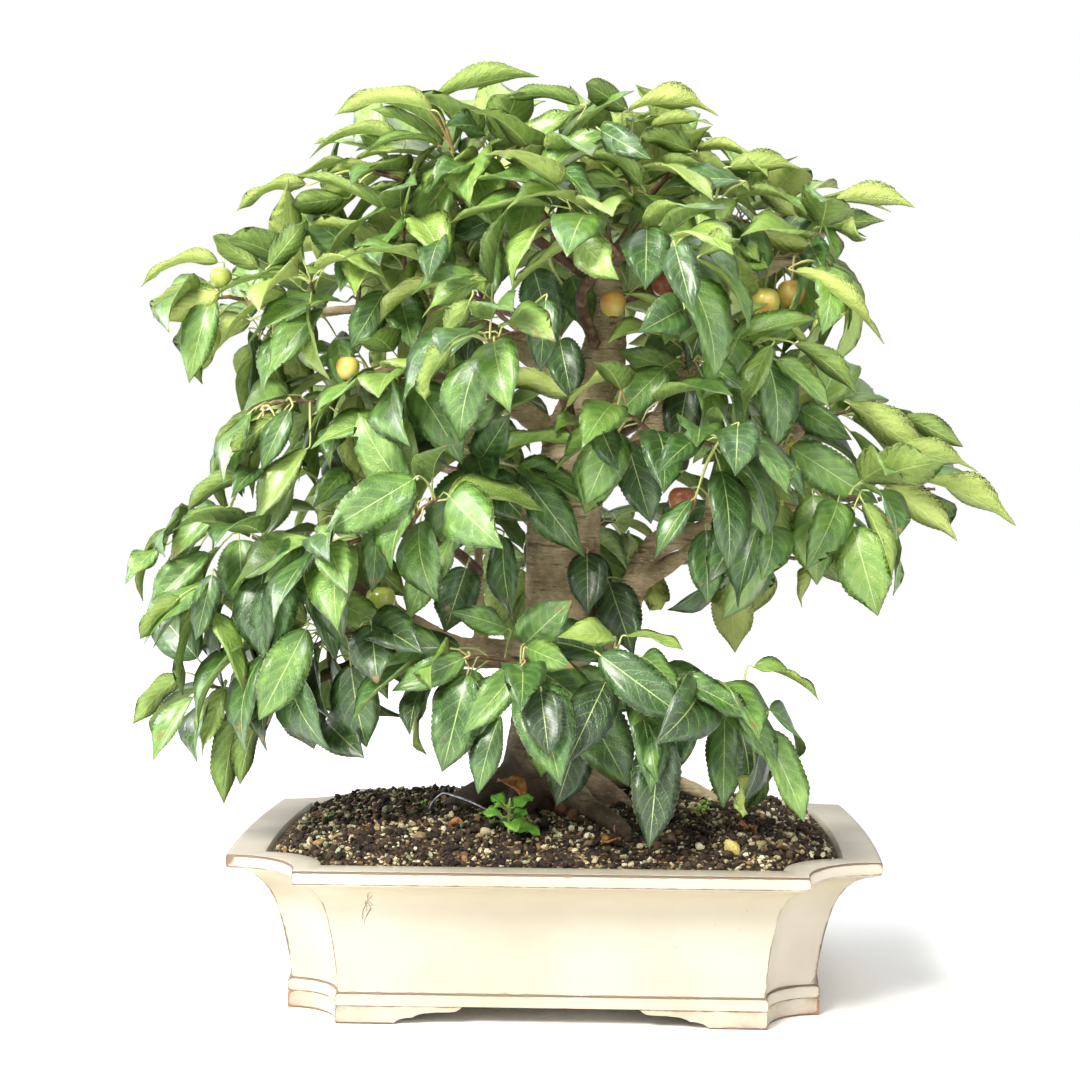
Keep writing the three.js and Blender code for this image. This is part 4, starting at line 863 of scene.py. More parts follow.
# each stem's name, the branch it grows on and how far along, the leaves on its first shoot, its own
# wood as [x, y, z, radius], and its shoots: each one's tip, and how far along the stem it starts
stems = [
    ("top_left", "trunk", 0.88, 4, [(0, -6, 588, 5), (-50, -12, 622, 4), (-102, -14, 642, 2.6)],
     [(-150, -22, 654), (-82, -62, 662, 0.62), (-92, 40, 660, 0.75)]),
    ("top_front", "trunk", 0.94, 4, [(10, -18, 590, 5), (-20, -34, 626, 3.6), (-40, -42, 644, 2.6)],
     [(-58, -50, 662), (-8, -88, 638, 0.5)]),
    ("top_right", "trunk", 0.97, 4, [(46, -4, 596, 4.6), (64, -12, 622, 3.6), (74, -16, 638, 2.6)],
     [(92, -26, 656), (54, -76, 640, 0.45)]),
    ("top_far_right", "trunk", 0.86, 4, [(80, 12, 566, 4.8), (120, 18, 592, 3.8), (150, 20, 610, 2.6)],
     [(186, 14, 626), (122, -48, 622, 0.6), (142, 72, 626, 0.8)]),
    ("top_back", "trunk", 1, 4, [(22, 36, 598, 4.8), (6, 74, 618, 3.6), (-4, 96, 630, 2.6)],
     [(-18, 134, 636), (62, 76, 646, 0.5), (16, 26, 658, 0.15)]),
    ("back_high", "trunk", 0.8, 4, [(32, 66, 582, 5), (24, 120, 602, 3.8), (18, 150, 610, 2.6)],
     [(10, 198, 618), (88, 138, 616, 0.6)]),
    ("back_left_high", "leftTop", 0.12, 4, [(-20, 74, 540, 5), (-64, 122, 560, 3.8), (-88, 140, 566, 2.6)],
     [(-128, 172, 574), (-92, 92, 620, 0.55)]),
    ("front_high", "trunk", 0.76, 4, [(18, -50, 552, 5), (42, -100, 572, 3.8), (56, -126, 574, 2.6)],
     [(84, -176, 566), (10, -142, 606, 0.62)]),
    ("front_middle", "trunk", 0.62, 4, [(2, -62, 486, 5), (-20, -108, 512, 3.8), (-30, -128, 516, 2.6)],
     [(-48, -180, 506), (-86, -120, 556, 0.55)]),
    ("front_right", "rightHigh", 0.2, 4, [(62, -58, 434, 4.6), (88, -98, 440, 3.6), (98, -116, 440, 2.6)],
     [(118, -160, 432), (46, -118, 460, 0.4)]),
    ("front_left", "leftUpright", 0.45, 4,
     [(-82, -60, 352, 4), (-112, -98, 364, 3.2), (-128, -112, 366, 2.4)],
     [(-164, -142, 356), (-84, -148, 394, 0.55)]),
    ("low_centre", "trunk", 0.4, 4, [(-20, -52, 262, 5), (-32, -92, 268, 3.8), (-30, -112, 268, 2.6)],
     [(-22, -150, 266), (-82, -128, 268, 0.6)]),
    ("low_right", "trunk", 0.36, 4,
     [(26, -56, 242, 5), (60, -92, 246, 3.8), (92, -106, 244, 3), (118, -108, 240, 2.4)],
     [(148, -110, 232), (44, -140, 262, 0.42), (108, -138, 250, 0.72)]),
    ("back_left", "trunk", 0.5, 4, [(-50, 70, 398, 5.4), (-105, 126, 418, 3.8), (-136, 150, 422, 2.6)],
     [(-184, 178, 420), (-78, 158, 468, 0.55)]),
    ("back_right", "trunk", 0.6, 4, [(64, 66, 456, 5.4), (112, 116, 472, 3.8), (140, 144, 474, 2.6)],
     [(184, 176, 476), (120, 76, 530, 0.5)]),
    ("back_low", "trunk", 0.42, 4, [(-12, 74, 316, 5.2), (-22, 138, 336, 3.8), (-26, 176, 336, 2.6)],
     [(-30, 228, 326), (48, 172, 372, 0.6)]),
    ("back_low_right", "rightLow", 0.3, 4, [(92, 46, 342, 4.6), (136, 90, 350, 3.6), (158, 106, 348, 2.6)],
     [(206, 134, 340), (152, 44, 384, 0.5)]),
    ("crown_left_front", "leftTop", 0.45, 5, [], [(-122, -56, 608)]),
    ("crown_left_back", "leftTop", 0.58, 5, [], [(-166, 48, 608)]),
    ("shoulder_front", "leftTop", 0.72, 5, [], [(-192, -76, 560)]),
    ("shoulder_tip", "leftTop", 1, 5, [], [(-278, -26, 552)]),
    ("shoulder_back", "leftTop", 0.86, 5, [], [(-254, 42, 526)]),
    ("crown_right_tip", "rightHigh", 1, 5, [], [(242, -4, 620)]),
    ("crown_right_front", "rightHigh", 0.84, 5, [], [(206, -62, 576)]),
    ("crown_right_back", "rightHigh", 0.72, 5, [], [(186, 64, 590)]),
    ("right_inner", "rightHigh", 0.42, 5, [], [(106, -74, 500)]),
    ("right_upper_front", "rightHigh", 0.55, 5, [], [(150, -86, 512)]),
    ("right_stub_tip", "rightLow", 0.97, 5, [], [(234, -34, 464)]),
    ("right_stub_back", "rightLow", 0.8, 5, [], [(176, 48, 446)]),
    ("right_far_tip", "rightFar", 1, 5, [], [(298, -44, 402)]),
    ("right_far_front", "rightFar", 0.82, 5, [], [(232, -88, 396)]),
    ("right_hanging", "rightFar", 0.58, 5, [], [(158, -84, 372)]),
    ("left_high_tip", "leftHigh", 1, 5, [], [(-232, -58, 464)]),
    ("left_high_front", "leftHigh", 0.62, 5, [], [(-122, -96, 478)]),
    ("left_high_back", "leftHigh", 0.76, 5, [], [(-178, 34, 480)]),
    ("upright_tip", "leftUpright", 1, 5, [], [(-72, -42, 436)]),
    ("left_low_tip", "leftLow", 1, 5, [], [(-280, -64, 372)]),
    ("left_low_front", "leftLow", 0.8, 5, [(-196, -80, 346, 4), (-206, -98, 350, 3)],
     [(-222, -128, 352), (-258, -96, 322, 0.45)]),
    ("left_low_back", "leftLow", 0.66, 5, [], [(-186, 26, 386)]),
    ("hanging_tip", "leftHanging", 1, 5, [], [(-272, -76, 244)]),
    ("hanging_front", "leftHanging", 0.68, 5, [(-194, -78, 266, 3.6), (-198, -94, 276, 3)],
     [(-206, -118, 286), (-150, -112, 290, 0.5)]),
    ("hanging_back", "leftHanging", 0.55, 5, [], [(-192, 14, 290)]),
]

# Leaves that stand out at the front, each as it is seen from the camera in a 1080 x 1080 frame:
# its foot and tip, its width, the face it shows (1 upper, -1 lower), how far it arches in
# radians, and its tone from 0, dark, to 1, yellow-green; the dark tones also hold painted shade.
frontLeaves = [
    # top of the crown
    (432, 110, 335, 115, 17, -1, 1.0, 0.85), (400, 140, 310, 158, 14, -1, 1.3, 0.7),
    (410, 181, 328, 173, 14, -1, 0.9, 0.7), (306, 184, 237, 211, 14, -1, 0.8, 0.8),
    (344, 198, 292, 205, 26, -1, 0.8, 0.35), (432, 103, 539, 77, 20, -1, 0.72, 0.75),
    (580, 105, 508, 99, 16, -1, 0.8, 0.5), (628, 110, 586, 83, 26, -1, 0.6, 0.3),
    (628, 111, 718, 116, 20, -1, 1.3, 0.95), (651, 127, 713, 125, 12, -1, 0.9, 0.8),
    (517, 145, 573, 112, 24, 1, 0.6, 0.8), (539, 179, 610, 133, 22, 1, 0.9, 0.7),
    (642, 186, 581, 155, 17, -1, 1.3, 0.5), (628, 192, 563, 192, 15, 1, 1.2, 0.6),
    (641, 210, 593, 201, 18, 1, 0.9, 0.6), (740, 181, 663, 188, 24, 1, 0.7, 0.2),
    (470, 165, 430, 190, 20, 1, 0.8, 0.45), (515, 212, 442, 249, 28, 1, 0.8, 0.3),
    (560, 170, 598, 216, 22, 1, 0.8, 0.25), (480, 130, 440, 128, 24, 1, 0.9, 0.3),
    (690, 150, 640, 138, 22, -1, 0.9, 0.6), (600, 130, 652, 160, 30, 1, 0.6, 0.25),
    # upper left
    (352, 250, 306, 214, 46, 1, 0.6, 0.45), (352, 252, 340, 292, 28, 1, 0.7, 0.4),
    (259, 268, 213, 236, 24, -1, 1.2, 0.5), (270, 266, 306, 220, 26, -1, 1.3, 0.35),
    (218, 262, 141, 287, 13, -1, 1.0, 0.8), (218, 293, 160, 321, 28, -1, 0.8, 0.95),
    (211, 297, 189, 383, 35, 1, 0.6, 0.55), (250, 331, 250, 402, 17, 1, 0.8, 0.15),
    (341, 301, 246, 348, 22, 1, 1.3, 0.5), (322, 309, 268, 378, 30, 1, 0.9, 0.5),
    (384, 292, 350, 350, 36, 1, 0.6, 0.4), (337, 340, 350, 398, 28, 1, 0.6, 0.5),
    (402, 303, 413, 350, 43, 1, 0.5, 0.35), (300, 325, 262, 395, 20, 1, 0.9, 0.4),
    (474, 275, 412, 295, 18, 1, 0.9, 0.4), (487, 279, 422, 318, 23, 1, 0.9, 0.45),
    (487, 233, 487, 307, 26, 1, 0.5, 0.5), (440, 240, 428, 282, 28, 1, 0.6, 0.3),
    (452, 345, 425, 400, 20, -1, 0.9, 0.6), (470, 300, 455, 385, 20, -1, 0.9, 0.5),
    # middle and centre front
    (534, 270, 555, 345, 44, 1, 0.6, 0.15), (580, 242, 619, 280, 40, 1, 0.5, 0.6),
    (571, 277, 593, 333, 34, 1, 0.6, 0.25), (647, 228, 645, 290, 52, 1, 0.5, 0.25),
    (675, 246, 693, 313, 36, 1, 0.6, 0.25), (710, 296, 688, 370, 37, 1, 0.6, 0.2),
    (682, 309, 638, 333, 42, 1, 0.5, 0.15), (682, 372, 617, 350, 30, 1, 0.6, 0.65),
    (664, 368, 607, 425, 40, 1, 0.6, 0.35), (569, 396, 483, 385, 27, -1, 1.3, 1.0),
    (688, 383, 675, 454, 42, 1, 0.5, 0.1), (601, 430, 620, 472, 30, 1, 0.5, 0.15),
    (628, 444, 651, 524, 42, 1, 0.5, 0.12), (581, 420, 553, 433, 20, 1, 0.5, 0.7),
    (698, 438, 657, 474, 28, 1, 0.7, 0.15), (623, 370, 564, 411, 13, -1, 0.7, 0.8),
    (546, 300, 540, 372, 34, 1, 0.6, 0.2), (560, 340, 572, 402, 40, 1, 0.5, 0.1),
    (465, 424, 499, 396, 28, 1, 0.7, 0.4), (481, 459, 510, 414, 38, 1, 0.6, 0.3),
    (490, 457, 583, 441, 22, 1, 0.8, 0.5), (488, 479, 527, 522, 45, 1, 0.5, 0.2),
    (518, 466, 596, 508, 28, 1, 0.8, 0.3), (520, 472, 585, 557, 45, 1, 0.6, 0.3),
    (471, 470, 438, 564, 58, 1, 0.6, 0.4), (414, 479, 325, 532, 50, 1, 0.8, 0.35),
    (432, 557, 407, 622, 32, 1, 0.6, 0.5), (453, 535, 434, 596, 22, 1, 0.6, 0.55),
    (503, 537, 515, 624, 30, 1, 0.6, 0.12), (527, 542, 557, 604, 25, 1, 0.5, 0.5),
    (494, 518, 523, 550, 20, 1, 0.5, 0.4), (587, 553, 588, 615, 42, 1, 0.4, 0.1),
    (609, 583, 634, 655, 45, 1, 0.5, 0.12), (466, 568, 445, 632, 50, 1, 0.6, 0.08),
    (507, 629, 449, 611, 27, 1, 0.7, 0.45), (629, 556, 629, 534, 15, -1, 0.3, 0.6),
    (648, 572, 661, 610, 28, -1, 0.5, 0.95), (692, 500, 655, 559, 23, 1, 0.5, 0.3),
    # upper right
    (730, 167, 800, 169, 22, -1, 0.8, 0.6), (795, 215, 749, 188, 22, -1, 1.1, 0.7),
    (834, 203, 915, 208, 22, -1, 1.1, 1.0), (819, 227, 885, 221, 22, -1, 0.9, 0.55),
    (831, 225, 863, 241, 18, -1, 0.6, 0.95), (810, 244, 827, 276, 30, 1, 0.4, 0.35),
    (795, 271, 884, 344, 16, -1, 0.5, 0.9), (730, 344, 818, 319, 28, 1, 0.7, 0.5),
    (705, 361, 744, 390, 31, 1, 0.5, 0.35), (771, 346, 744, 421, 26, 1, 0.6, 0.7),
    (795, 344, 858, 397, 22, -1, 0.8, 0.6), (776, 360, 829, 407, 22, 1, 0.6, 0.6),
    (755, 235, 815, 250, 24, -1, 1.0, 0.75), (700, 255, 740, 240, 22, -1, 0.7, 0.6),
    (724, 232, 760, 262, 20, 1, 0.6, 0.65), (744, 262, 768, 268, 20, 1, 0.5, 0.5),
    # right
    (738, 426, 735, 476, 47, 1, 0.4, 0.2), (850, 404, 928, 460, 34, -1, 0.6, 0.75),
    (904, 417, 963, 447, 23, -1, 0.6, 0.6), (888, 452, 978, 472, 24, -1, 0.7, 0.7),
    (885, 487, 957, 541, 31, -1, 0.8, 0.8), (915, 479, 1016, 526, 23, -1, 0.6, 0.75),
    (813, 495, 817, 585, 50, 1, 0.5, 0.5), (853, 527, 878, 616, 55, 1, 0.5, 0.55),
    (864, 503, 892, 576, 24, -1, 0.6, 0.5), (881, 495, 890, 527, 14, -1, 0.5, 0.55),
    (706, 530, 708, 605, 38, 1, 0.4, 0.3), (735, 482, 734, 580, 37, 1, 0.4, 0.12),
    (758, 525, 738, 608, 28, 1, 0.5, 0.25), (730, 578, 735, 653, 42, -1, 0.4, 0.9),
    (762, 463, 845, 495, 40, 1, 0.6, 0.2), (791, 447, 878, 503, 42, 1, 0.7, 0.5),
    (838, 431, 774, 423, 17, 1, 0.8, 0.5), (810, 568, 802, 608, 12, -1, 0.5, 0.9),
    (781, 506, 778, 535, 26, -1, 0.4, 0.55), (800, 410, 852, 440, 30, 1, 0.7, 0.4),
    # left
    (401, 421, 311, 449, 21, 1, 0.9, 0.55), (306, 449, 256, 523, 29, 1, 0.6, 0.75),
    (243, 475, 188, 511, 21, -1, 1.2, 0.6), (226, 508, 170, 563, 25, 1, 1.2, 0.7),
    (165, 545, 125, 584, 17, 1, 0.6, 0.5), (208, 553, 147, 612, 29, 1, 0.6, 0.5),
    (180, 597, 140, 639, 21, -1, 0.6, 0.5), (239, 540, 244, 615, 46, 1, 0.5, 0.5),
    (302, 538, 264, 583, 25, 1, 0.7, 0.4), (328, 545, 348, 594, 36, 1, 0.5, 0.6),
    (325, 597, 388, 627, 36, 1, 0.6, 0.75), (308, 588, 336, 660, 27, 1, 0.6, 0.35),
    (284, 571, 262, 659, 46, 1, 0.7, 0.25), (306, 629, 259, 720, 46, 1, 0.5, 0.5),
    (371, 625, 378, 684, 60, 1, 0.4, 0.05), (213, 613, 243, 692, 23, 1, 0.6, 0.8),
    (262, 470, 231, 498, 20, 1, 0.9, 0.4), (270, 420, 232, 452, 26, -1, 0.8, 0.4),
    (345, 470, 312, 508, 26, 1, 0.8, 0.5), (378, 520, 372, 592, 30, 1, 0.6, 0.35),
    (300, 475, 262, 545, 24, 1, 0.6, 0.6), (212, 575, 196, 640, 26, 1, 0.6, 0.3),
    (290, 410, 262, 470, 26, 1, 0.7, 0.25), (340, 420, 330, 470, 24, 1, 0.7, 0.4),
    # lower left
    (180, 676, 133, 724, 23, -1, 0.6, 0.5), (193, 697, 153, 761, 22, 1, 0.6, 0.55),
    (224, 688, 202, 757, 25, 1, 0.6, 0.65), (241, 705, 224, 804, 30, -1, 0.5, 0.4),
    (263, 705, 240, 785, 26, -1, 0.6, 0.3), (295, 686, 314, 749, 48, 1, 0.5, 0.08),
    (326, 722, 364, 758, 45, 1, 0.5, 0.05), (464, 658, 392, 691, 30, 1, 0.7, 0.5),
    (467, 674, 442, 772, 50, 1, 0.6, 0.15), (421, 688, 410, 735, 22, 1, 0.6, 0.1),
    # low centre
    (521, 666, 463, 734, 34, 1, 0.7, 0.5), (500, 716, 478, 794, 30, 1, 0.6, 0.3),
    (525, 643, 572, 600, 46, 1, 0.6, 0.4), (613, 637, 558, 637, 26, 1, 0.9, 0.9),
    (527, 648, 574, 668, 30, 1, 0.7, 0.45), (572, 675, 642, 710, 40, 1, 0.6, 0.35),
    (600, 655, 688, 720, 46, 1, 0.7, 0.08), (579, 695, 629, 787, 60, 1, 0.6, 0.4),
    (541, 692, 549, 758, 56, 1, 0.5, 0.05), (580, 733, 556, 807, 46, 1, 0.4, 0.1),
    (661, 729, 649, 849, 50, 1, 0.4, 0.1), (652, 724, 658, 784, 19, 1, 0.4, 0.3),
    (725, 715, 723, 808, 38, 1, 0.5, 0.4), (761, 729, 804, 822, 34, 1, 0.5, 0.5),
    (753, 775, 743, 817, 15, -1, 0.4, 0.8), (700, 715, 689, 743, 18, -1, 0.4, 0.4),
    (642, 657, 678, 692, 22, 1, 0.6, 0.4), (679, 681, 751, 719, 28, 1, 0.7, 0.35),
    (754, 667, 819, 700, 8, 1, 0.9, 0.6), (627, 636, 683, 650, 10, 1, 0.5, 0.6),
]

# the fruits: the branch that each one hangs from and how far along it, middle and radius in mm
fruits = [
    ("leftTop", 0.93, (-268, -46, 566), 9, "green"),
    ("leftTop", 0.97, (-280, -40, 520), 11, "green"),
    ("leftLow", 0.5, (-138, -62, 312), 12, "green"),
    ("rightHigh", 0.74, (162, -44, 548), 12.5, "blush"),
    ("rightHigh", 0.8, (184, -34, 556), 11.5, "blush"),
    ("trunk", 0.79, (43, -34, 548), 10.5, "blush"),
    ("trunk", 0.83, (84, -14, 566), 10.5, "red"),
    ("rightLow", 0.66, (99, -42, 392), 11.5, "red"),
    ("leftHigh", 0.78, (-164, -66, 494), 9.5, "blush"),
    ("rightLow", 0.9, (188, -46, 430), 9.5, "blush"),
]

leaf = {
    "length": 62,
    "lengthSpread": 20,
    "slimness": 0.5,
    "slimSpread": 0.1,
    "petiole": 15,
    "petioleSpread": 12,
    "petioleRadius": 0.75,
    "halfThick": 0.35,
    "ribThick": 0.8,  # mm, how far the midrib stands out below
    "attempts": 40,
    "goldenAngle": 2.39996,
    "firstAt": 0.27,
    "spanAlong": 0.7,
    "sideShares": (0.45, 0.85, 0.4),  # of a leaf's heading: along the shoot, aside, away from the crown
    "endShares": (0.9, 0.3, 0.4),
    "fall": {"low": 0.6, "less": 0.4, "spread": 0.4, "from": 200, "over": 480, "perAttempt": 0.1},
    "turn": {"spread": 0.5, "perAttempt": 0.12},
    "stalkRise": 0.35,
    "face": {"up": 0.85, "away": 0.6, "spread": 0.7},
    "bend": {"least": 0.45, "spread": 0.75},
    "fold": {"least": 0.12, "spread": 0.36},
    "ruffle": 2.2,
    "ruffleLeast": 0.6,
    "outline": (0.6, 0.9),  # powers that shape the edge from the base and from the tip
    "tipFrom": 0.7,  # from here on the blade is drawn out to its point, narrower by up to this share
    "drawnTip": 0.5,
    "bulge": 0.09,  # each half of the blade swells by this share of its reach
    "stations": [0, 0.035, 0.1, 0.18, 0.27, 0.36, 0.46, 0.56, 0.66, 0.76, 0.85, 0.93, 1],
    "nearStations": 41,
    "teeth": 0.03,  # share of the reach that a tooth of a near leaf's edge stands out
    "sideLeaves": 4,  # on every shoot but a stem's first
    "extraPerShoot": (6, 10),  # at the front and at the back, where the solids have fewer
    "backFrom": 20,  # mm, y of a shoot's tip
    "extraFrom": 40,  # leaf numbers from here on are the ones between the solids' leaves
    "extraAlong": (0.12, 0.98),  # the stretch of a shoot that bears them
    "spacing": 11.5,  # mm between the sample points of two leaves
    "woodSpacing": 4,
}
leafSeed = {"shoot": 9973, "leaf": 331, "attempt": 17, "shootStep": 7}
crown = {
    "x": 10,
    "z": 420,
    "depthShare": 1.1,
    "heightShare": 0.7,
    "lowest": 146,
    "margin": 4,
    # the crown's outline from the front, [x, z] where lines of sight from the camera pass y = 0
    "outline": [
        [-46, 746], [-13, 735], [31, 735], [64, 727], [90, 730], [130, 711], [147, 675], [193, 670],
        [200, 646], [234, 645], [262, 656], [292, 629], [252, 600], [225, 603], [231, 577], [266, 517],
        [235, 534], [216, 537], [224, 514], [248, 487], [286, 476], [323, 450], [344, 416], [375, 373],
        [332, 377], [324, 358], [292, 377], [275, 369], [276, 299], [247, 302], [228, 324], [202, 301],
        [190, 350], [177, 356], [177, 317], [145, 263], [127, 288], [129, 307], [121, 301], [103, 330],
        [93, 300], [69, 300], [67, 282], [105, 278], [105, 265], [149, 262], [219, 230], [182, 216],
        [210, 172], [202, 128], [176, 156], [164, 133], [127, 140], [117, 180], [94, 145], [77, 100],
        [57, 144], [34, 157], [19, 144], [-7, 139], [-16, 168], [-37, 183], [-60, 145], [-78, 171],
        [-96, 164], [-119, 194], [-132, 226], [-154, 213], [-157, 175], [-187, 166], [-211, 179],
        [-235, 192], [-243, 169], [-273, 134], [-298, 175], [-304, 206], [-332, 170], [-342, 191],
        [-354, 201], [-354, 231], [-301, 254], [-346, 272], [-342, 297], [-359, 318], [-342, 346],
        [-318, 371], [-306, 391], [-285, 419], [-281, 435], [-262, 460], [-265, 485], [-263, 519],
        [-291, 481], [-323, 520], [-333, 533], [-331, 560], [-347, 566], [-328, 584], [-283, 587],
        [-288, 607], [-254, 612], [-224, 625], [-268, 626], [-224, 653], [-208, 690], [-177, 701],
        [-187, 709], [-147, 725], [-105, 719], [-76, 737],
    ],
}
frontLeaf = {
    "seed": 70,
    "leastLength": 50,  # mm
    "lean": {1: 0.14, -1: 0.04},  # how far the tip comes forward, for the face in view
    "level": 0.15,  # a leaf flatter than this may turn either edge down
    "fold": (0.2, 0.56),
    "slim": (0.42, 0.72),  # width as a share of length
    "arch": (0.85, 1.1),  # of what its row says
    "ruffle": (1.2, 4.2),
    "outlines": ((0.54, 0.66), (0.72, 0.9)),
    "twist": 0.9,
    "lighter": 0.06,
    "toneSpread": 0.08,
    "thickest": 8.5,  # mm, radius of the thickest wood that bears leaves
    "frontShare": 0.1,  # mm of cost for each mm that a twig lies further back
    "stemCost": 4,  # mm that a stem's own wood counts as further away than a shoot, and a branch
    "branchCost": 12,
    "inFront": 4,
    "sameLeaf": 42,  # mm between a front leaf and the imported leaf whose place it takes
    "sameShare": 0.45,  # of that leaf's places that it covers
    "clearBy": 3,
    "mostAhead": 34,
}
shootShape = {"start": 2.1, "end": 1.2, "arch": 0.08, "node": 0.5, "nodes": 52, "steps": 24, "blur": 0.04,
              "twigHeel": 0.8, "tipRadius": 2}


def stream(seed):
    # seeded random numbers from 0 to 1, one stream for each leaf and attempt
    whole = 0xFFFFFFFF
    state = seed & whole
    while True:
        state = (state + 0x6D2B79F5) & whole
        t = ((state ^ (state >> 15)) * (state | 1)) & whole
        t ^= (t + (((t ^ (t >> 7)) * (t | 61)) & whole)) & whole
        yield (t ^ (t >> 14)) / 4294967296


def pointAt(path, s):
    lengths = [np.linalg.norm(b - a) for a, b in zip(path, path[1:])]
    reach = min(max(s, 0.0), 1.0) * sum(lengths)
    for a, b, length in zip(path, path[1:], lengths):
        if reach <= length + 1e-9:
            return a + (b - a) * reach / length
        reach -= length
    return path[-1]


def headingAt(path, s):
    return unit(pointAt(path, min(s + 0.0001, 1)) - pointAt(path, max(s - 0.0001, 0)))


def posed(base, heading, face, **shape):
    # a blade from its foot, the way it points and the way that its upper face looks
    normal = unit(face - heading * face.dot(heading))
    axes = {"base": base, "heading": heading, "normal": normal, "side": np.cross(heading, normal)}
    return {**axes, "outline": leaf["outline"], "twist": 0.0, "near": False, **shape}


def leafPose(shoot, index, attempt, place=None):
    # Where one leaf sits and how it is turned, bent and folded.
    fall, turn, looks = leaf["fall"], leaf["turn"], leaf["face"]
    seed = shoot["seed"] * leafSeed["shoot"] + index * leafSeed["leaf"] + attempt * leafSeed["attempt"]
    draw = stream(seed)
    shares = leaf["endShares"] if index == shoot["leaves"] - 1 else leaf["sideShares"]
    s = leaf["firstAt"] + leaf["spanAlong"] * (index + 1) / shoot["leaves"] if place is None else place
    foot, along = pointAt(shoot["path"], s), headingAt(shoot["path"], s)
    level = unit(np.cross(along, up))
    over = np.cross(level, along)
    spread = turn["spread"] + attempt * turn["perAttempt"]
    angle = index * leaf["goldenAngle"] + shoot["seed"] + (next(draw) - 0.5) * 2 * spread
    aside = level * math.cos(angle) + over * math.sin(angle)
    rise = (foot[2] - crown["z"]) * crown["heightShare"]
    away = unit(np.array([foot[0] - crown["x"], foot[1] * crown["depthShare"], rise]))
    height = min(max((foot[2] - fall["from"]) / fall["over"], 0), 1)
    loose = (next(draw) - 0.5) * fall["spread"] * (1 + attempt * fall["perAttempt"])
    sink = fall["less"] * height - fall["low"] - loose
    heading = unit(along * shares[0] + aside * shares[1] + away * shares[2] + up * sink)
    stalk = leaf["petiole"] + leaf["petioleSpread"] * next(draw)
    length = leaf["length"] + leaf["lengthSpread"] * next(draw)
    wander = np.array([next(draw) - 0.5, next(draw) - 0.5, next(draw) - 0.5])
    return posed(
        foot + unit(heading + up * leaf["stalkRise"]) * stalk,
        heading,
        up * looks["up"] + away * looks["away"] + wander * looks["spread"],
        foot=foot,
        length=length,
        width=length * (leaf["slimness"] + leaf["slimSpread"] * next(draw)),
        bend=leaf["bend"]["least"] + leaf["bend"]["spread"] * next(draw),
        fold=leaf["fold"]["least"] + leaf["fold"]["spread"] * next(draw),
        ruffle=leaf["ruffle"] * (leaf["ruffleLeast"] + next(draw)),
        source=(shoot, index, attempt),
    )


def bladeShape(t, outline):
    rise, fall = outline
    widest = rise / (rise + fall)
    drawn = 1 - leaf["drawnTip"] * np.clip((t - leaf["tipFrom"]) / (1 - leaf["tipFrom"]), 0, 1)
    return drawn * t**rise * (1 - t) ** fall / (widest**rise * (1 - widest) ** fall)


def bladePlaces(pose, u, t, w, teeth=1.0):
    # Maps the template's (across, along, through) numbers onto a posed blade.
    turn = pose["bend"] * t
    forward = pose["length"] * np.sin(turn) / pose["bend"]
    down = pose["length"] * (1 - np.cos(turn)) / pose["bend"]
    reach = np.maximum(pose["width"] / 2 * bladeShape(t, pose["outline"]) * teeth, 0.75 - 0.5 * t)
    across = np.abs(u)
    height = reach * (across * math.sin(pose["fold"]) + leaf["bulge"] * 4 * across * (1 - across))
    height = height - u * across * pose["ruffle"] * np.sin(3 * math.pi * t) * np.minimum(1, 5 * (1 - t))
    under = leaf["ribThick"] * (1 - 0.6 * t)
    height = height + np.where(w < 0, -under, w * leaf["halfThick"] * (1 - across))
    lifted = np.outer(np.cos(turn), pose["normal"]) + np.outer(np.sin(turn), pose["heading"])
    rib = pose["base"] + np.outer(forward, pose["heading"]) - np.outer(down, pose["normal"])
    roll = (pose["twist"] * (t - 0.4))[:, None]
    aside = np.cos(roll) * pose["side"] + np.sin(roll) * lifted
    lifted = np.cos(roll) * lifted - np.sin(roll) * pose["side"]
    return rib + lifted * height[:, None] + aside * (u * reach * math.cos(pose["fold"]))[:, None]


def bladeTemplate(stations, teeth):
    # One blade laid flat: six points round it at each station, skinned end to end.
    section = [(-1, 0), (-0.5, 1), (0, 1), (0.5, 1), (1, 0), (0, -1)]
    blade = stackRings("bladeTemplate", [[(10 * u, 100 * t, w) for u, w in section] for t in stations])
    places = (np.array([v.co for v in blade.data.vertices]) - potMiddle) / mm
    u, t, w = places[:, 0] / 10, np.clip(places[:, 1] / 100, 0, 1), np.round(places[:, 2])
    faces = [tuple(f.vertices) for f in blade.data.polygons]
    underside = [int(min(w[list(face)]) < 0) for face in faces]
    bpy.data.objects.remove(blade)
    number = np.array([np.argmin(np.abs(np.array(stations) - at)) for at in t])
    edge = np.where(np.abs(u) > 0.9, 1 + teeth * np.where(number % 2 == 1, 1.0, -1.0), 1.0)
    return {"u": u, "t": t, "w": w, "faces": faces, "underside": underside, "teeth": edge}


plainBlade = bladeTemplate(leaf["stations"], 0.0)
nearBlade = bladeTemplate(list(np.linspace(0, 1, leaf["nearStations"]) ** 1.08), leaf["teeth"])


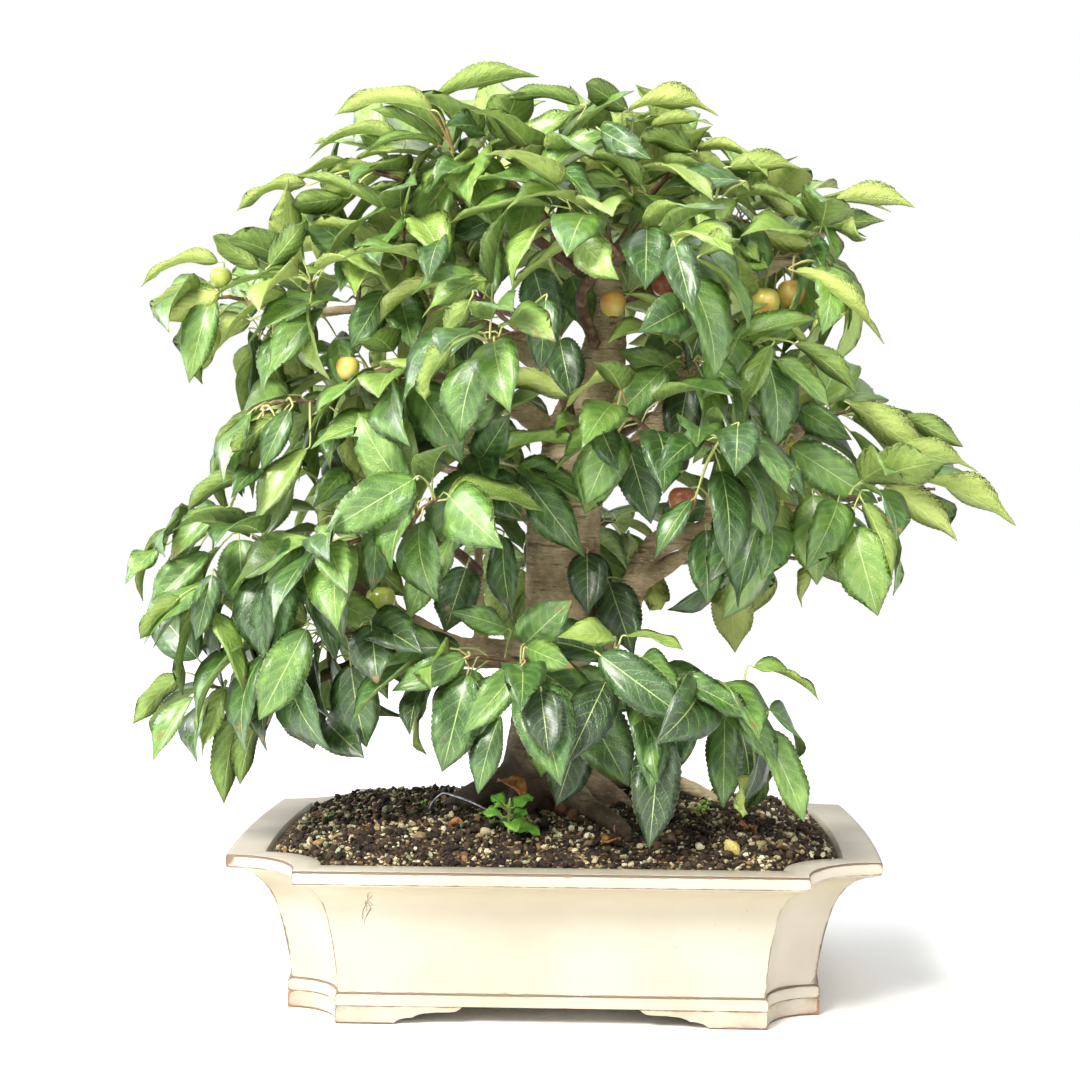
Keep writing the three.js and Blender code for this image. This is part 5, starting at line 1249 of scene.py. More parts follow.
def planStem(number, name, on, at, firstLeaves, line, tips):
    start = rowAt(woodLines[on], at)
    rows = []
    if line:
        heel = [*start[:3], line[0][3] + shootShape["twigHeel"]]
        rows = [heel, *line, [*tips[0], shootShape["tipRadius"]]]
    shoots = []
    for k, (x, y, z, *along) in enumerate(tips):
        tip = np.array([x, y, z], float)
        if rows and k == 0:
            path = [np.array(rows[-2][:3], float), tip]
        else:
            foot = (rowAt(rows, *along) if rows else start)[:3]
            crest = (foot + tip) / 2 + up * np.linalg.norm(tip - foot) * shootShape["arch"]
            path = [foot, crest, tip]
        leaves = leaf["sideLeaves"] if k else firstLeaves
        shoots.append({"path": path, "seed": number * leafSeed["shootStep"] + k + 1, "leaves": leaves})
    return {"name": "leafy_stem_" + name, "rows": rows, "shoots": shoots, "poses": []}


def tipOf(pose):
    return bladePlaces(pose, np.zeros(1), np.ones(1), np.zeros(1))[0]


def findPackedLeaves(plan):
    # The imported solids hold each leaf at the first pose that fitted: its tip is a corner there.
    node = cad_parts[plan["name"]]
    finder = nearestFinder([node.matrix_world @ v.co for v in node.data.vertices])
    for shoot in plan["shoots"]:
        for index in range(shoot["leaves"]):
            for attempt in range(leaf["attempts"]):
                pose = leafPose(shoot, index, attempt)
                if finder.find(inFrame(tipOf(pose)))[2] < 0.0001:
                    plan["poses"].append(pose)
                    break


def samplesOf(pose):
    u = np.array([0.0, 0.0, 0.0, -0.8, 0.8])
    t = np.array([0.15, 0.5, 0.95, 0.42, 0.42])
    return bladePlaces(pose, u, t, np.zeros(5))


def seenFrom(points):
    # pixels across and down, and depth in mm
    away = np.asarray(points) - eye
    depth = away @ look
    across, down = focal * (away @ rightward) / depth, -focal * (away @ upward) / depth
    return np.stack([half + across, half + down, depth], axis=-1)


def seenPlaces(pose):
    return seenFrom(np.vstack([samplesOf(pose), tipOf(pose)]))


def lineOfSight(across, down):
    return look + rightward * (across - half) / focal - upward * (down - half) / focal


def insideOutline(points):
    seen = eye + (points - eye) * (eye[1] / (eye[1] - points[:, 1]))[:, None]
    corners = np.array(crown["outline"], float)
    inside = np.zeros(len(points), bool)
    for (x0, z0), (x1, z1) in zip(corners, np.roll(corners, -1, axis=0)):
        if z0 != z1:
            crosses = (z0 > seen[:, 2]) != (z1 > seen[:, 2])
            inside ^= crosses & (seen[:, 0] < x0 + (x1 - x0) * (seen[:, 2] - z0) / (z1 - z0))
    return inside.all()


def insideBox(points):
    # clear of the sides of the solids' box, and above the rim of the pot
    low, high = (np.array(cadBounds) - potMiddle) / mm
    low[2] = crown["lowest"]
    return (points > low + crown["margin"]).all() and (points < high - crown["margin"]).all()


def frontPose(row, depth, number):
    # A leaf whose foot, tip and width are seen where its row says, with its foot at this depth.
    footAcross, footDown, tipAcross, tipDown, seenWidth, face, arch, tone = row
    draw = random.Random(frontLeaf["seed"] + number)
    flat = math.hypot(tipAcross - footAcross, tipDown - footDown) * depth / focal
    span = max(flat, frontLeaf["leastLength"])
    forward = math.sqrt(span**2 - flat**2) + flat * frontLeaf["lean"][face]
    base = eye + lineOfSight(footAcross, footDown) * depth
    chord = eye + lineOfSight(tipAcross, tipDown) * (depth - forward) - base
    axis = unit(chord)
    facing = unit((eye - base) - axis * (eye - base).dot(axis))
    aside = np.cross(axis, facing)
    if abs(aside[2]) < frontLeaf["level"] and draw.random() < 0.5 or aside[2] <= -frontLeaf["level"]:
        aside = -aside
    fold = draw.uniform(*frontLeaf["fold"])
    widthThere = seenWidth * depth / focal / math.cos(fold)
    reach = np.linalg.norm(chord)
    slimmest, widest = frontLeaf["slim"]
    width = min(max(widthThere, slimmest * reach), widest * reach)
    tilt = math.acos(min(1.0, widthThere / width))
    middle = facing * face * math.cos(tilt) + aside * math.sin(tilt)
    bend = arch * draw.uniform(*frontLeaf["arch"])
    return {
        "base": base,
        "heading": axis * math.cos(bend / 2) + middle * math.sin(bend / 2),
        "normal": middle * math.cos(bend / 2) - axis * math.sin(bend / 2),
        "side": np.cross(axis, middle),
        "length": reach * (bend / 2) / math.sin(bend / 2),
        "width": width,
        "bend": bend,
        "fold": fold,
        "ruffle": draw.uniform(*frontLeaf["ruffle"]),
        "outline": [draw.uniform(*powers) for powers in frontLeaf["outlines"]],
        "twist": draw.uniform(-1, 1) * frontLeaf["twist"],
        "near": True,
        # a leaf that hangs in shade has a low tone: its shade is painted into its colour
        "tone": min(max(tone + frontLeaf["lighter"] + draw.gauss(0, frontLeaf["toneSpread"]), 0), 1),
        "forward": forward,
        "depth": depth,
        "row": row,
    }


def coverage(rows, depths, forwards, seen):
    # For each leaf of rows and each point seen: is the point within the blade's outline,
    # and how far in front of the blade does it lie?
    rows = np.atleast_2d(np.array(rows, float))
    line = rows[:, 2:4] - rows[:, :2]
    size = (line**2).sum(axis=1)[:, None]
    offset = seen[None, :, :2] - rows[:, None, :2]
    along = (offset * line[:, None]).sum(axis=2) / size
    aside = np.abs(offset[:, :, 1] * line[:, None, 0] - offset[:, :, 0] * line[:, None, 1]) / np.sqrt(size)
    widest = np.sqrt(np.clip(along * (1 - along), 0, 1)) * rows[:, 4:5]
    within = (along > 0.04) & (along < 0.97) & (aside < widest)
    return within, np.reshape(depths, (-1, 1)) - np.reshape(forwards, (-1, 1)) * along - seen[None, :, 2]


def fruitMarks():
    # each fruit's middle and four places round it, as the camera sees them
    marks = []
    for on, at, centre, radius, colour in fruits:
        for across, rise in ((0, 0), (0.75, 0), (-0.75, 0), (0, 0.75), (0, -0.75)):
            marks.append(np.array(centre, float) + (rightward * across + upward * rise) * radius)
    return seenFrom(np.array(marks))


fruitsSeen = fruitMarks()


def hidesFruit(pose):
    ends = seenFrom(bladePlaces(pose, np.array([0, 0, -1, 1.0]), np.array([0, 1, 0.42, 0.42]), np.zeros(4)))
    row = [*ends[0, :2], *ends[1, :2], np.linalg.norm(ends[2, :2] - ends[3, :2])]
    within, ahead = coverage(row, ends[0, 2], ends[0, 2] - ends[1, 2], fruitsSeen)
    return (within & (ahead < 0)).any()


def nearestGap(places, others):
    return np.linalg.norm(others[None] - places[:, None], axis=2).min()


def clearFruits(plans):
    # a leaf that would hang in front of a fruit hangs as one of its later poses has it
    moved = 0
    for plan in plans:
        for k, pose in enumerate(plan["poses"]):
            if pose["near"] or not hidesFruit(pose):
                continue
            shoot, index, attempt = pose["source"]
            others = [other for each in plans for other in each["poses"] if other is not pose]
            taken = np.vstack([samplesOf(other) for other in others])
            for later in range(attempt + 1, leaf["attempts"] * 3):
                new = leafPose(shoot, index, later)
                here = samplesOf(new)
                apart = nearestGap(here, taken) > leaf["spacing"] * 0.7
                if apart and insideOutline(here) and insideBox(here) and not hidesFruit(new):
                    plan["poses"][k] = new
                    moved += 1
                    break
    print("leaves turned aside from the fruits:", moved)


def shootPoints(plans):
    # points on every twig where a leaf can sit: [x, y, z, plan number, cost in mm]
    points = []
    for number, plan in enumerate(plans):
        for shoot in plan["shoots"]:
            points += [[*pointAt(shoot["path"], k / 9), number, 0] for k in range(10)]
        if plan["rows"]:
            points += [[*row[:3], number, frontLeaf["stemCost"]] for row in sampledRows(plan["rows"], 12)]
    twigs = np.array(points)
    for rows in woodLines.values():
        for row in sampledRows(rows, 30):
            if row[3] < frontLeaf["thickest"]:
                nearest = np.linalg.norm(twigs[:, :3] - row[:3], axis=1).argmin()
                points.append([*row[:3], twigs[nearest, 3], frontLeaf["branchCost"]])
    return np.array(points)


def placeFrontLeaves(plans):
    # The leaves that stand out at the front, each on the twig that its line of sight passes
    # nearest to. Where one stands in a packed leaf's place, it is that leaf as it really hangs.
    places = shootPoints(plans)
    packed = [(plan, pose, seenPlaces(pose)) for plan in plans for pose in plan["poses"]]
    given = 0
    for number, row in enumerate(frontLeaves):
        ray = lineOfSight(*row[:2])
        depths = (places[:, :3] - eye) @ ray / ray.dot(ray)
        apart = np.linalg.norm(eye + ray * depths[:, None] - places[:, :3], axis=1)
        best = (apart + places[:, 4] + places[:, 1] * frontLeaf["frontShare"]).argmin()
        depth = depths[best] - frontLeaf["inFront"]
        forward = frontPose(row, depth, number)["forward"]
        fits, ahead = [], 0.0
        for k, (plan, other, seen) in enumerate(packed):
            within, front = coverage(row, depth, forward, seen)
            share = within.mean()
            if share > frontLeaf["sameShare"] and abs(front[within].mean()) < frontLeaf["sameLeaf"]:
                fits.append((share, k))
        if fits:
            plan, other, seen = packed.pop(max(fits)[1])
            plan["poses"] = [kept for kept in plan["poses"] if kept is not other]
            given += 1
        for plan, other, seen in packed:
            within, front = coverage(row, depth, forward, seen)
            if within.any():
                ahead = max(ahead, front[within].max() + frontLeaf["clearBy"])
        pose = frontPose(row, depth - min(ahead, frontLeaf["mostAhead"]), number)
        pose["foot"] = places[best, :3]
        plan = plans[int(places[best, 3])]
        plan["poses"].append(pose)
        packed.append((plan, pose, seenPlaces(pose)))
    print("front leaves:", len(frontLeaves), "of which in a packed leaf's place:", given)


def growBetween(plans):
    # more leaves on the same shoots, each at the first of its poses that keeps clear of the others
    poses = [pose for plan in plans for pose in plan["poses"]]
    taken = np.vstack([samplesOf(pose) for pose in poses])
    rows, depths, forwards = zip(*[(p["row"], p["depth"], p["forward"]) for p in poses if p["near"]])
    woodPoints = np.vstack([np.array(sampledRows(line, 30)) for line in woodLines.values()])
    first, last = leaf["extraAlong"]

    def clear(pose, here):
        if not insideOutline(np.vstack([here, tipOf(pose)])) or not insideBox(here):
            return False
        toWood = np.linalg.norm(woodPoints[None, :, :3] - here[:, None], axis=2) - woodPoints[:, 3]
        if nearestGap(here, taken) < leaf["spacing"] or toWood.min() < leaf["woodSpacing"]:
            return False
        within, ahead = coverage(rows, depths, forwards, seenFrom(here))
        return not (within & (ahead > -2)).any() and not hidesFruit(pose)

    for plan in plans:
        for shoot in plan["shoots"]:
            extra = leaf["extraPerShoot"][int(shoot["path"][-1][1] > leaf["backFrom"])]
            for k in range(extra):
                place = first + (last - first) * (k + 0.5) / extra
                for attempt in range(leaf["attempts"]):
                    pose = leafPose(shoot, leaf["extraFrom"] + k, attempt, place)
                    here = samplesOf(pose)
                    if clear(pose, here):
                        plan["poses"].append(pose)
                        taken = np.vstack([taken, here])
                        break


leafFinish = {
    "veinGap": 0.072,  # half the gap between side veins, as a share of the length
    "veinHalf": 0.0065,
    "ribHalf": 0.017,
    "sweep": 0.74,  # how far the side veins reach forward, and how much they curve
    "curve": 1.2,
    "meshes": (15.0, 27.0, 1.0),  # meshes of the fine net across and along, about 2.5 mm each
    "netHalf": 0.09,  # share of a mesh that its pale line takes on either side
    "netPale": 0.08,
    "quilt": 0.2,  # height of a mesh's cushion, against one between two side veins
    "cushion": 0.0072,  # m, the relief of the whole
    "stray": 0.05,
}


def veinedMaterial(name, greens, veinHex, freshHex, cushion, **surface):
    material, add, place, shader = startMaterial(name, **surface)
    plain = add("UVMap", uv_map="bladeMap")
    wander = add("TexNoise", place, 60.0, 1.0).outputs["Color"]
    flat = add("VectorMath", plain, add("VectorMath", wander, leafFinish["stray"], operation="SCALE"))
    tone = add("SeparateColor", add("Attribute", attribute_name="leafTone")).outputs
    own = add("SeparateXYZ", plain).outputs
    along = add("SeparateXYZ", flat).outputs["Y"]
    aside = add("Math", add("Math", own["X"], 0.5, operation="SUBTRACT"), operation="ABSOLUTE")
    curved = add("Math", aside, leafFinish["curve"], operation="POWER")
    lean = add("Math", curved, -leafFinish["sweep"], along, operation="MULTIPLY_ADD")
    wave = add("Math", lean, leafFinish["veinGap"], operation="PINGPONG")
    sideVein = add("MapRange", wave, 0.0, leafFinish["veinHalf"], 1.0, 0.0)
    midrib = add("MapRange", aside, 0.006, leafFinish["ribHalf"], 1.0, 0.0)
    fade = add("MapRange", aside, 0.0, 0.5, 0.56, 0.16)
    soft = add("Math", sideVein, fade, operation="MULTIPLY")
    rim = add("MapRange", aside, 0.475, 0.5, 0.0, 0.45)
    lines = add("Math", add("Math", soft, midrib, operation="MAXIMUM"), rim, operation="MAXIMUM")
    spread = add("Mapping", flat, Scale=leafFinish["meshes"])
    net = add("TexVoronoi", spread, Scale=1.0, feature="DISTANCE_TO_EDGE")
    netLine = add("MapRange", net, 0.0, leafFinish["netHalf"], leafFinish["netPale"], 0.0)
    allLines = add("Math", lines, netLine, operation="MAXIMUM")
    # each leaf's own tone, a little patchy, and paler along its veins
    patchy = add("Math", add("TexNoise", place, 75.0, 5.0), 0.7, tone["Red"], operation="MULTIPLY_ADD")
    nearVein = add("Math", wave, -1.0, patchy, operation="MULTIPLY_ADD")
    base = add("ValToRGB", add("Math", nearVein, 0.32, operation="SUBTRACT"), stops=greens)
    fresh = add("Mix", tone["Green"], base, freshHex, data_type="RGBA")
    painted = add("Mix", allLines, fresh, veinHex, data_type="RGBA")
    # old leaves scorch at the tip and in a few spots
    scorch = add("Math", own["Y"], 0.3, add("TexNoise", place, 130.0, 2.0), operation="MULTIPLY_ADD")
    burnt = add("MapRange", scorch, 0.84, 0.9, 0.0, 0.8)
    aged = add("Math", burnt, tone["Blue"], operation="MULTIPLY")
    finished = add("Mix", aged, painted, "#8d6c3c", data_type="RGBA")
    # cushions between the veins, with smaller ones in the net's meshes
    small = add("Math", net, 0.25, operation="MINIMUM")
    netted = add("Math", small, leafFinish["quilt"], wave, operation="MULTIPLY_ADD")
    feed(shader, Base_Color=finished, Normal=add("Bump", 0.8, cushion, Height=netted))
    return material


# waxy upper face of an apple leaf: a soft sheen over quilted green, with pale veins and edge
leafTop = veinedMaterial(
    "appleLeafUpper", [(0.0, "#1f3b18"), (0.3, "#3c642a"), (0.6, "#69923b"), (1.0, "#a2ba5b")],
    "#b3c67c", "#93b04c", leafFinish["cushion"],
    Roughness=0.42, IOR=1.47, Coat_Weight=0.85, Coat_Roughness=0.33,
)
# matt, downy lower face: paler and greyer, with raised veins
leafUnder = veinedMaterial(
    "appleLeafLower", [(0.0, "#546d37"), (0.4, "#6e8942"), (0.7, "#8da453"), (1.0, "#adbc6d")],
    "#bfcb88", "#b0bf62", -leafFinish["cushion"],
    Roughness=0.62, IOR=1.4,
)
# pale green leaf stalks, some of them flushed red
stalkSkin = mottled("leafStalk", 14.0, 2.0, [(0.35, "#a3b566"), (0.58, "#c3c982"), (0.72, "#b98a66")],
                    Roughness=0.5)
# smooth red-brown skin of year-old shoots with pale pores
shootSkin = mottled("youngBark", 160.0, 3.0, [(0.3, "#4b3526"), (0.55, "#6e5440"), (0.7, "#8d7a5c")],
                    Roughness=0.6)


def makeBlades(name, poses, upper=leafTop, lower=leafUnder):
    places, faces, sides, flats, tones, count = [], [], [], [], [], 0
    for pose in poses:
        blade = nearBlade if pose["near"] else plainBlade
        u, t = blade["u"], blade["t"]
        places.append(bladePlaces(pose, u, t, blade["w"], blade["teeth"]))
        faces += [tuple(i + count for i in face) for face in blade["faces"]]
        sides += blade["underside"]
        flats.append(np.stack([(u + 1) / 2, t], axis=1)[np.concatenate(blade["faces"])])
        tones += [(pose["tone"], pose["youth"], pose["age"], 1.0)] * len(u)
        count += len(u)
    piece = meshOf(name + "_blades", inFrame(np.vstack(places)), faces)
    setMaterials(piece, upper, lower)
    piece.data.polygons.foreach_set("material_index", sides)
    piece.data.polygons.foreach_set("use_smooth", [True] * len(faces))
    layer = piece.data.uv_layers.new(name="bladeMap")
    layer.data.foreach_set("uv", np.vstack(flats).ravel().astype(np.float32))
    tintPiece(piece, "leafTone", "FLOAT_COLOR", "color", tones)
    return piece


def shootRows(shoot):
    path, blur, rows = shoot["path"], shootShape["blur"], []
    for i in range(shootShape["steps"] + 1):
        s = i / shootShape["steps"]
        centre = (pointAt(path, s - blur) + 2 * pointAt(path, s) + pointAt(path, s + blur)) / 4
        radius = shootShape["start"] + (shootShape["end"] - shootShape["start"]) * s
        rows.append([*centre, radius + shootShape["node"] * max(0, math.sin(s * shootShape["nodes"])) ** 4])
    return rows


def stalkRows(pose):
    # a petiole, or a thin spur with the petiole at its end where the leaf sits far from its twig
    foot, base = pose["foot"], pose["base"]
    reach = np.linalg.norm(base - foot)
    near = base - pose["heading"] * min(5, reach / 4)
    middle = (foot + near) / 2 + up * (1.4 + 0.06 * reach)
    r = leaf["petioleRadius"]
    thick = r * 1.6 if reach > leaf["petiole"] + leaf["petioleSpread"] else r
    low, onRib = foot * 0.8 + middle * 0.2, base + pose["heading"] * 4 - pose["normal"] * 0.4
    rows = [[*foot, r * 1.8], [*low, thick], [*middle, thick], [*near, r], [*base, r], [*onRib, r * 0.7]]
    return sampledRows(rows, 14) if pose["near"] else rows


leafTones = {
    "seed": 500,
    "middle": 0.44,
    "paleAndLitPerHeight": 0.3,  # paler by this for each span of 300 mm above 380 mm: young leaves, and painted light for the backlit top of the crown
    "level": 380,
    "span": 300,
    "spread": 0.2,
    "youngFrom": 0.6,
    "youngBy": 1.1,
    "youngest": 0.55,
    "aged": 0.12,  # share of the leaves that are scorched
}


def makeStem(plan, number):
    draw = random.Random(leafTones["seed"] + number)
    for pose in plan["poses"]:
        # leaves are paler higher up: partly young growth, partly painted light where the top of the crown is
        # backlit
        height = (pose["base"][2] - leafTones["level"]) / leafTones["span"]
        own = leafTones["middle"] + leafTones["paleAndLitPerHeight"] * height + draw.gauss(0, leafTones["spread"])
        tone = pose.get("tone", own)
        pose["tone"] = min(max(tone, 0), 1)
        young = leafTones["youngBy"] * (tone - leafTones["youngFrom"]) + draw.gauss(0, 0.05)
        pose["youth"] = min(max(young, 0), leafTones["youngest"])
        pose["age"] = 1.0 if draw.random() < leafTones["aged"] else 0.0
    name = plan["name"]
    blades = makeBlades(name, plan["poses"])
    stalks = tubes(name + "_stalks", [stalkRows(pose) for pose in plan["poses"]], 0, stalkSkin)
    lines = [shootRows(shoot) for k, shoot in enumerate(plan["shoots"]) if not (plan["rows"] and k == 0)]
    if plan["rows"]:
        lines.append(sampledRows(plan["rows"], 5 * len(plan["rows"])))
    twigs = tubes(name + "_wood", lines, 1, shootSkin)
    finishPiece(joinPieces(name + "_fine", [blades, stalks, twigs]), "leaf", name)


plans = [planStem(number, *stem) for number, stem in enumerate(stems)]
for plan in plans:
    findPackedLeaves(plan)
print("leaves found in the solids:", sum(len(plan["poses"]) for plan in plans))
placeFrontLeaves(plans)
clearFruits(plans)
growBetween(plans)
for number, plan in enumerate(plans):
    makeStem(plan, number)
print("leafy stems made,", sum(len(plan["poses"]) for plan in plans), "leaves")

# the fruits

fruit = {
    # [radius, height] as shares of the fruit's radius, from the calyx basin to the stalk's dimple
    "profile": [
        (0.04, -0.86), (0.14, -0.95), (0.3, -0.99), (0.52, -0.92), (0.74, -0.72), (0.9, -0.42),
        (0.98, -0.06), (0.98, 0.26), (0.86, 0.58), (0.64, 0.8), (0.4, 0.88), (0.2, 0.84), (0.04, 0.72),
    ],
    "size": 10,  # mm, radius of the one that is modelled
    "sides": 20,
    "ribs": 0.018,  # five faint ribs round the calyx
    "sepals": 5,
    "sepalLength": 0.34,
    "sepalFoot": (0.1, -0.9),
    "sepalDrop": 1.12,
    "stalkRadius": 0.9,
    "stalkArch": 7,
    "stalkFrom": 0.85,
    "stalkSunk": 3,
    # ground from dark to pale, flush, and the share of the noise from which the flush starts
    "skins": {
        "green": ("#7f8d39", "#a3b04f", "#bfc56a", "#b98f4e", 0.62),
        "blush": ("#dcc051", "#efdb72", "#f6e99c", "#e0703e", 0.57),
        "red": ("#96583a", "#b06c45", "#c78d58", "#84392c", 0.52),
    },
}


def peelMaterial(colour):
    # thin waxy crabapple peel: yellow ground, a red flush on one side, and fine pale pores
    dark, middle, pale, flushHex, flushFrom = fruit["skins"][colour]
    material, add, place, shader = startMaterial(
        "applePeel" + colour.capitalize(), Roughness=0.3, IOR=1.45, Coat_Weight=0.35, Coat_Roughness=0.15)
    ground = [(0.3, dark), (0.55, middle), (0.8, pale)]
    base = add("ValToRGB", add("TexNoise", place, 95.0, 4.0), stops=ground)
    side = add("TexNoise", place, 48.0, 2.0, Distortion=0.4)
    flush = add("MapRange", side, flushFrom - 0.06, flushFrom + 0.12, 0.0, 0.7)
    flushed = add("Mix", flush, base, flushHex, data_type="RGBA")
    dots = add("MapRange", add("TexVoronoi", place, 420.0), 0.1, 0.2, 0.5, 0.0)
    feed(shader, Base_Color=add("Mix", dots, flushed, "#f2e6b8", data_type="RGBA"))
    return material


# dead plant tissue, dry and papery: brown, darker in its creases
dried = mottled("driedLeaf", 190.0, 4.0, [(0.32, "#6b452a"), (0.5, "#a8703c"), (0.68, "#c9985a")],
                relief=(0.6, 0.001), Roughness=0.85)


def modelApple():
    # one crabapple about the pot's middle, with its dried calyx below
    size = fruit["size"]
    rings = []
    for radius, height in fruit["profile"]:
        ring = []
        for i in range(fruit["sides"]):
            angle = math.tau * i / fruit["sides"]
            rib = 1 + fruit["ribs"] * math.cos(5 * angle) * max(0.0, -height)
            reach = size * radius * rib
            ring.append((reach * math.cos(angle), reach * math.sin(angle), size * height))
        rings.append(ring)
    body = stackRings("apple", rings)
    shadeSmooth(body, 80)
    setMaterials(body, dried)
    sepals = []
    for i in range(fruit["sepals"]):
        angle = math.tau * i / fruit["sepals"]
        out = np.array([math.cos(angle), math.sin(angle), 0.0])
        across, rise = fruit["sepalFoot"]
        foot = out * across * size + up * rise * size
        tip = out * size * fruit["sepalLength"] - up * fruit["sepalDrop"] * size
        sepals.append([[*foot, 0.9], [*((foot + tip) / 2 - up * 0.8), 0.75], [*tip, 0.2]])
    return joinPieces("apple", [body, tubes("calyx", sepals, 0, dried)])


def makeFruits():
    skins = {colour: peelMaterial(colour) for colour in fruit["skins"]}
    apple = modelApple()
    bodyFaces = fruit["sides"] * (len(fruit["profile"]) - 1) + 2
    for number, (on, at, centre, radius, colour) in enumerate(fruits):
        body = addObject("apple", apple.data.copy())
        middle = np.array(centre, float)
        places = (np.array([v.co for v in body.data.vertices]) - potMiddle) / mm
        body.data.vertices.foreach_set("co", inFrame(places * radius / fruit["size"] + middle).ravel())
        setMaterials(body, skins[colour], dried)
        for k, face in enumerate(body.data.polygons):
            face.material_index = int(k >= bodyFaces)
        hang = rowAt(woodLines[on], at)[:3]
        top = middle + up * radius * fruit["stalkFrom"]
        crest = (hang + top) / 2 + up * fruit["stalkArch"]
        end = top - up * fruit["stalkSunk"]
        rows = sampledRows([[*p, fruit["stalkRadius"]] for p in (hang, crest, end)], 10)
        name = "fruit_" + str(number + 1).zfill(2)
        piece = joinPieces(name + "_fine", [body, tubes("fruitStalk", [rows], 1, stalkSkin)])
        shadeSmooth(piece, 70)
        finishPiece(piece, colour + "_fruit", name)
    bpy.data.objects.remove(apple)


makeFruits()
print("fruits made")

# on and in the soil: seedling, anchor wire, screens, stones, moss and dry leaves

seedling = {
    "foot": (-34, -104),
    "bottom": 122,
    "crown": 150,
    "overCrown": 9,
    "leaves": 10,
    "length": 24,
    "shorter": 0.9,  # mm less for each leaf up the stem
    "seed": 3,
    "turn": 0.5,
    "widthShare": 0.8,
    "stalk": 6,
    "leafStep": 1.5,
    "rise": (0.1, 0.1),
    "face": (0.0, -0.9, 0.6),  # the leaves turn to the light at the front
    "shape": {"bend": 0.9, "fold": 0.2, "ruffle": 2.0, "outline": (0.6, 0.8), "youth": 0.3, "age": 0.0},
}


def seedlingPose(index):
    draw = random.Random(seedling["seed"] + index)
    angle = index * leaf["goldenAngle"] + draw.uniform(-1, 1) * seedling["turn"]
    climb = seedling["rise"][0] + seedling["rise"][1] * index
    heading = unit(np.array([math.cos(angle), math.sin(angle), climb]))
    height = seedling["crown"] - seedling["overCrown"] + index * seedling["leafStep"]
    foot = np.array([*seedling["foot"], height])
    face = up + np.array(seedling["face"]) * draw.uniform(0.3, 1.2)
    length = (seedling["length"] - index * seedling["shorter"]) * draw.uniform(0.7, 1.1)
    return posed(
        foot + heading * seedling["stalk"], heading, face, foot=foot, length=length,
        width=length * seedling["widthShare"], twist=draw.uniform(-0.6, 0.6), tone=draw.uniform(0.2, 0.9),
        **seedling["shape"],
    )


def makeSeedling():
    poses = [seedlingPose(i) for i in range(seedling["leaves"])]
    # tender weed leaf: thin, fresh green and slightly glossy
    greens = [(0.0, "#3f8a24"), (0.4, "#62ad34"), (0.8, "#9ad257")]
    tender = veinedMaterial("tenderLeaf", greens, "#a9d86e", "#74bb3c", leafFinish["cushion"] / 2,
                            Roughness=0.38, IOR=1.42)
    blades = makeBlades("seedling", poses, tender)
    stalks = tubes("seedlingStalks", [stalkRows(pose) for pose in poses], 0, stalkSkin)
    x, y = seedling["foot"]
    top = seedling["crown"] + seedling["overCrown"]
    rows = [[x, y, seedling["bottom"], 1.3], [x, y, top, 1.1], [x + 1, y, top + 5, 0.6]]
    stem = tubes("seedlingStem", [rows], 1, stalkSkin)
    finishPiece(joinPieces("seedling_fine", [blades, stalks, stem]), "young_leaf", "seedling")


anchorWire = {
    "drawn": 0.95,  # radius
    "route": [
        (-30, -76, 118), (-36, -82, 140), (-58, -64, 150), (-80, -40, 154), (-94, -22, 152),
        (-104, -20, 132), (-96, 2, 80), (-94, 7, 42), (-94, 7, 26), (-92, 7, 16.4), (-82, 7, 15),
        (0, 7, 15), (82, 7, 15), (92, 7, 16.4), (94, 7, 26), (94, 7, 42), (93, 7, 78),
    ],
    "steps": 120,
}


def makeWire():
    # aluminium training wire, drawn and anodised: satin grey, dulled in spots by the soil
    greys = [(0.38, "#6f7478"), (0.6, "#a3a9ad")]
    satin = mottled("anodisedAluminium", 150.0, 3.0, greys, Metallic=0.9, Roughness=0.42)
    rows = [[*place, anchorWire["drawn"]] for place in anchorWire["route"]]
    piece = tubes("anchor_wire_fine", [sampledRows(rows, anchorWire["steps"])], 2, satin)
    shadeSmooth(piece, 60)
    finishPiece(piece, "wire", "anchor_wire")


drainNet = {"half": 23, "cells": 14, "bar": 1.1, "lift": 0.3, "thick": 1.2}


def makeScreens():
    # polythene netting, moulded: matt black with a slightly glossy rounded strand
    netting = mottled("mouldedNetting", 300.0, 3.0, [(0.45, "#1f2326"), (0.7, "#4a4338")], Roughness=0.5)
    cells, height = drainNet["cells"], pot["floorTop"] + drainNet["lift"] + drainNet["thick"] / 2
    for side, name in ((-1, "drain_screen_left"), (1, "drain_screen_right")):
        place = inFrame((side * pot["drainOffset"], 0, height))
        size = 2 * (drainNet["half"] - drainNet["bar"] / 2) * mm
        piece = primitive("grid", x_subdivisions=cells, y_subdivisions=cells, size=size, location=place)
        piece.name = name + "_fine"
        modify(piece, "WIREFRAME", thickness=drainNet["bar"] * mm, use_even_offset=False)
        bpy.ops.object.transform_apply(location=True, rotation=True, scale=True)
        shadeSmooth(piece, 50)
        setMaterials(piece, netting)
        finishPiece(piece, "net", name)


soilDepths = (1400, 1660)  # mm from the camera to the front and the back of the soil


def onSoil(across, down):
    # the place on the soil that is seen at these pixels, or the nearest one below that line of sight
    sight = lineOfSight(across, down)
    spots = [eye + sight * depth for depth in np.linspace(*soilDepths, 160)]
    heights = [spot[2] - soilHeight(spot[0], spot[1]) for spot in spots]
    below = [i for i, height in enumerate(heights) if height <= 0]
    spot = spots[below[0] if below else int(np.argmin(heights))]
    return np.array([spot[0], spot[1], soilHeight(spot[0], spot[1])])


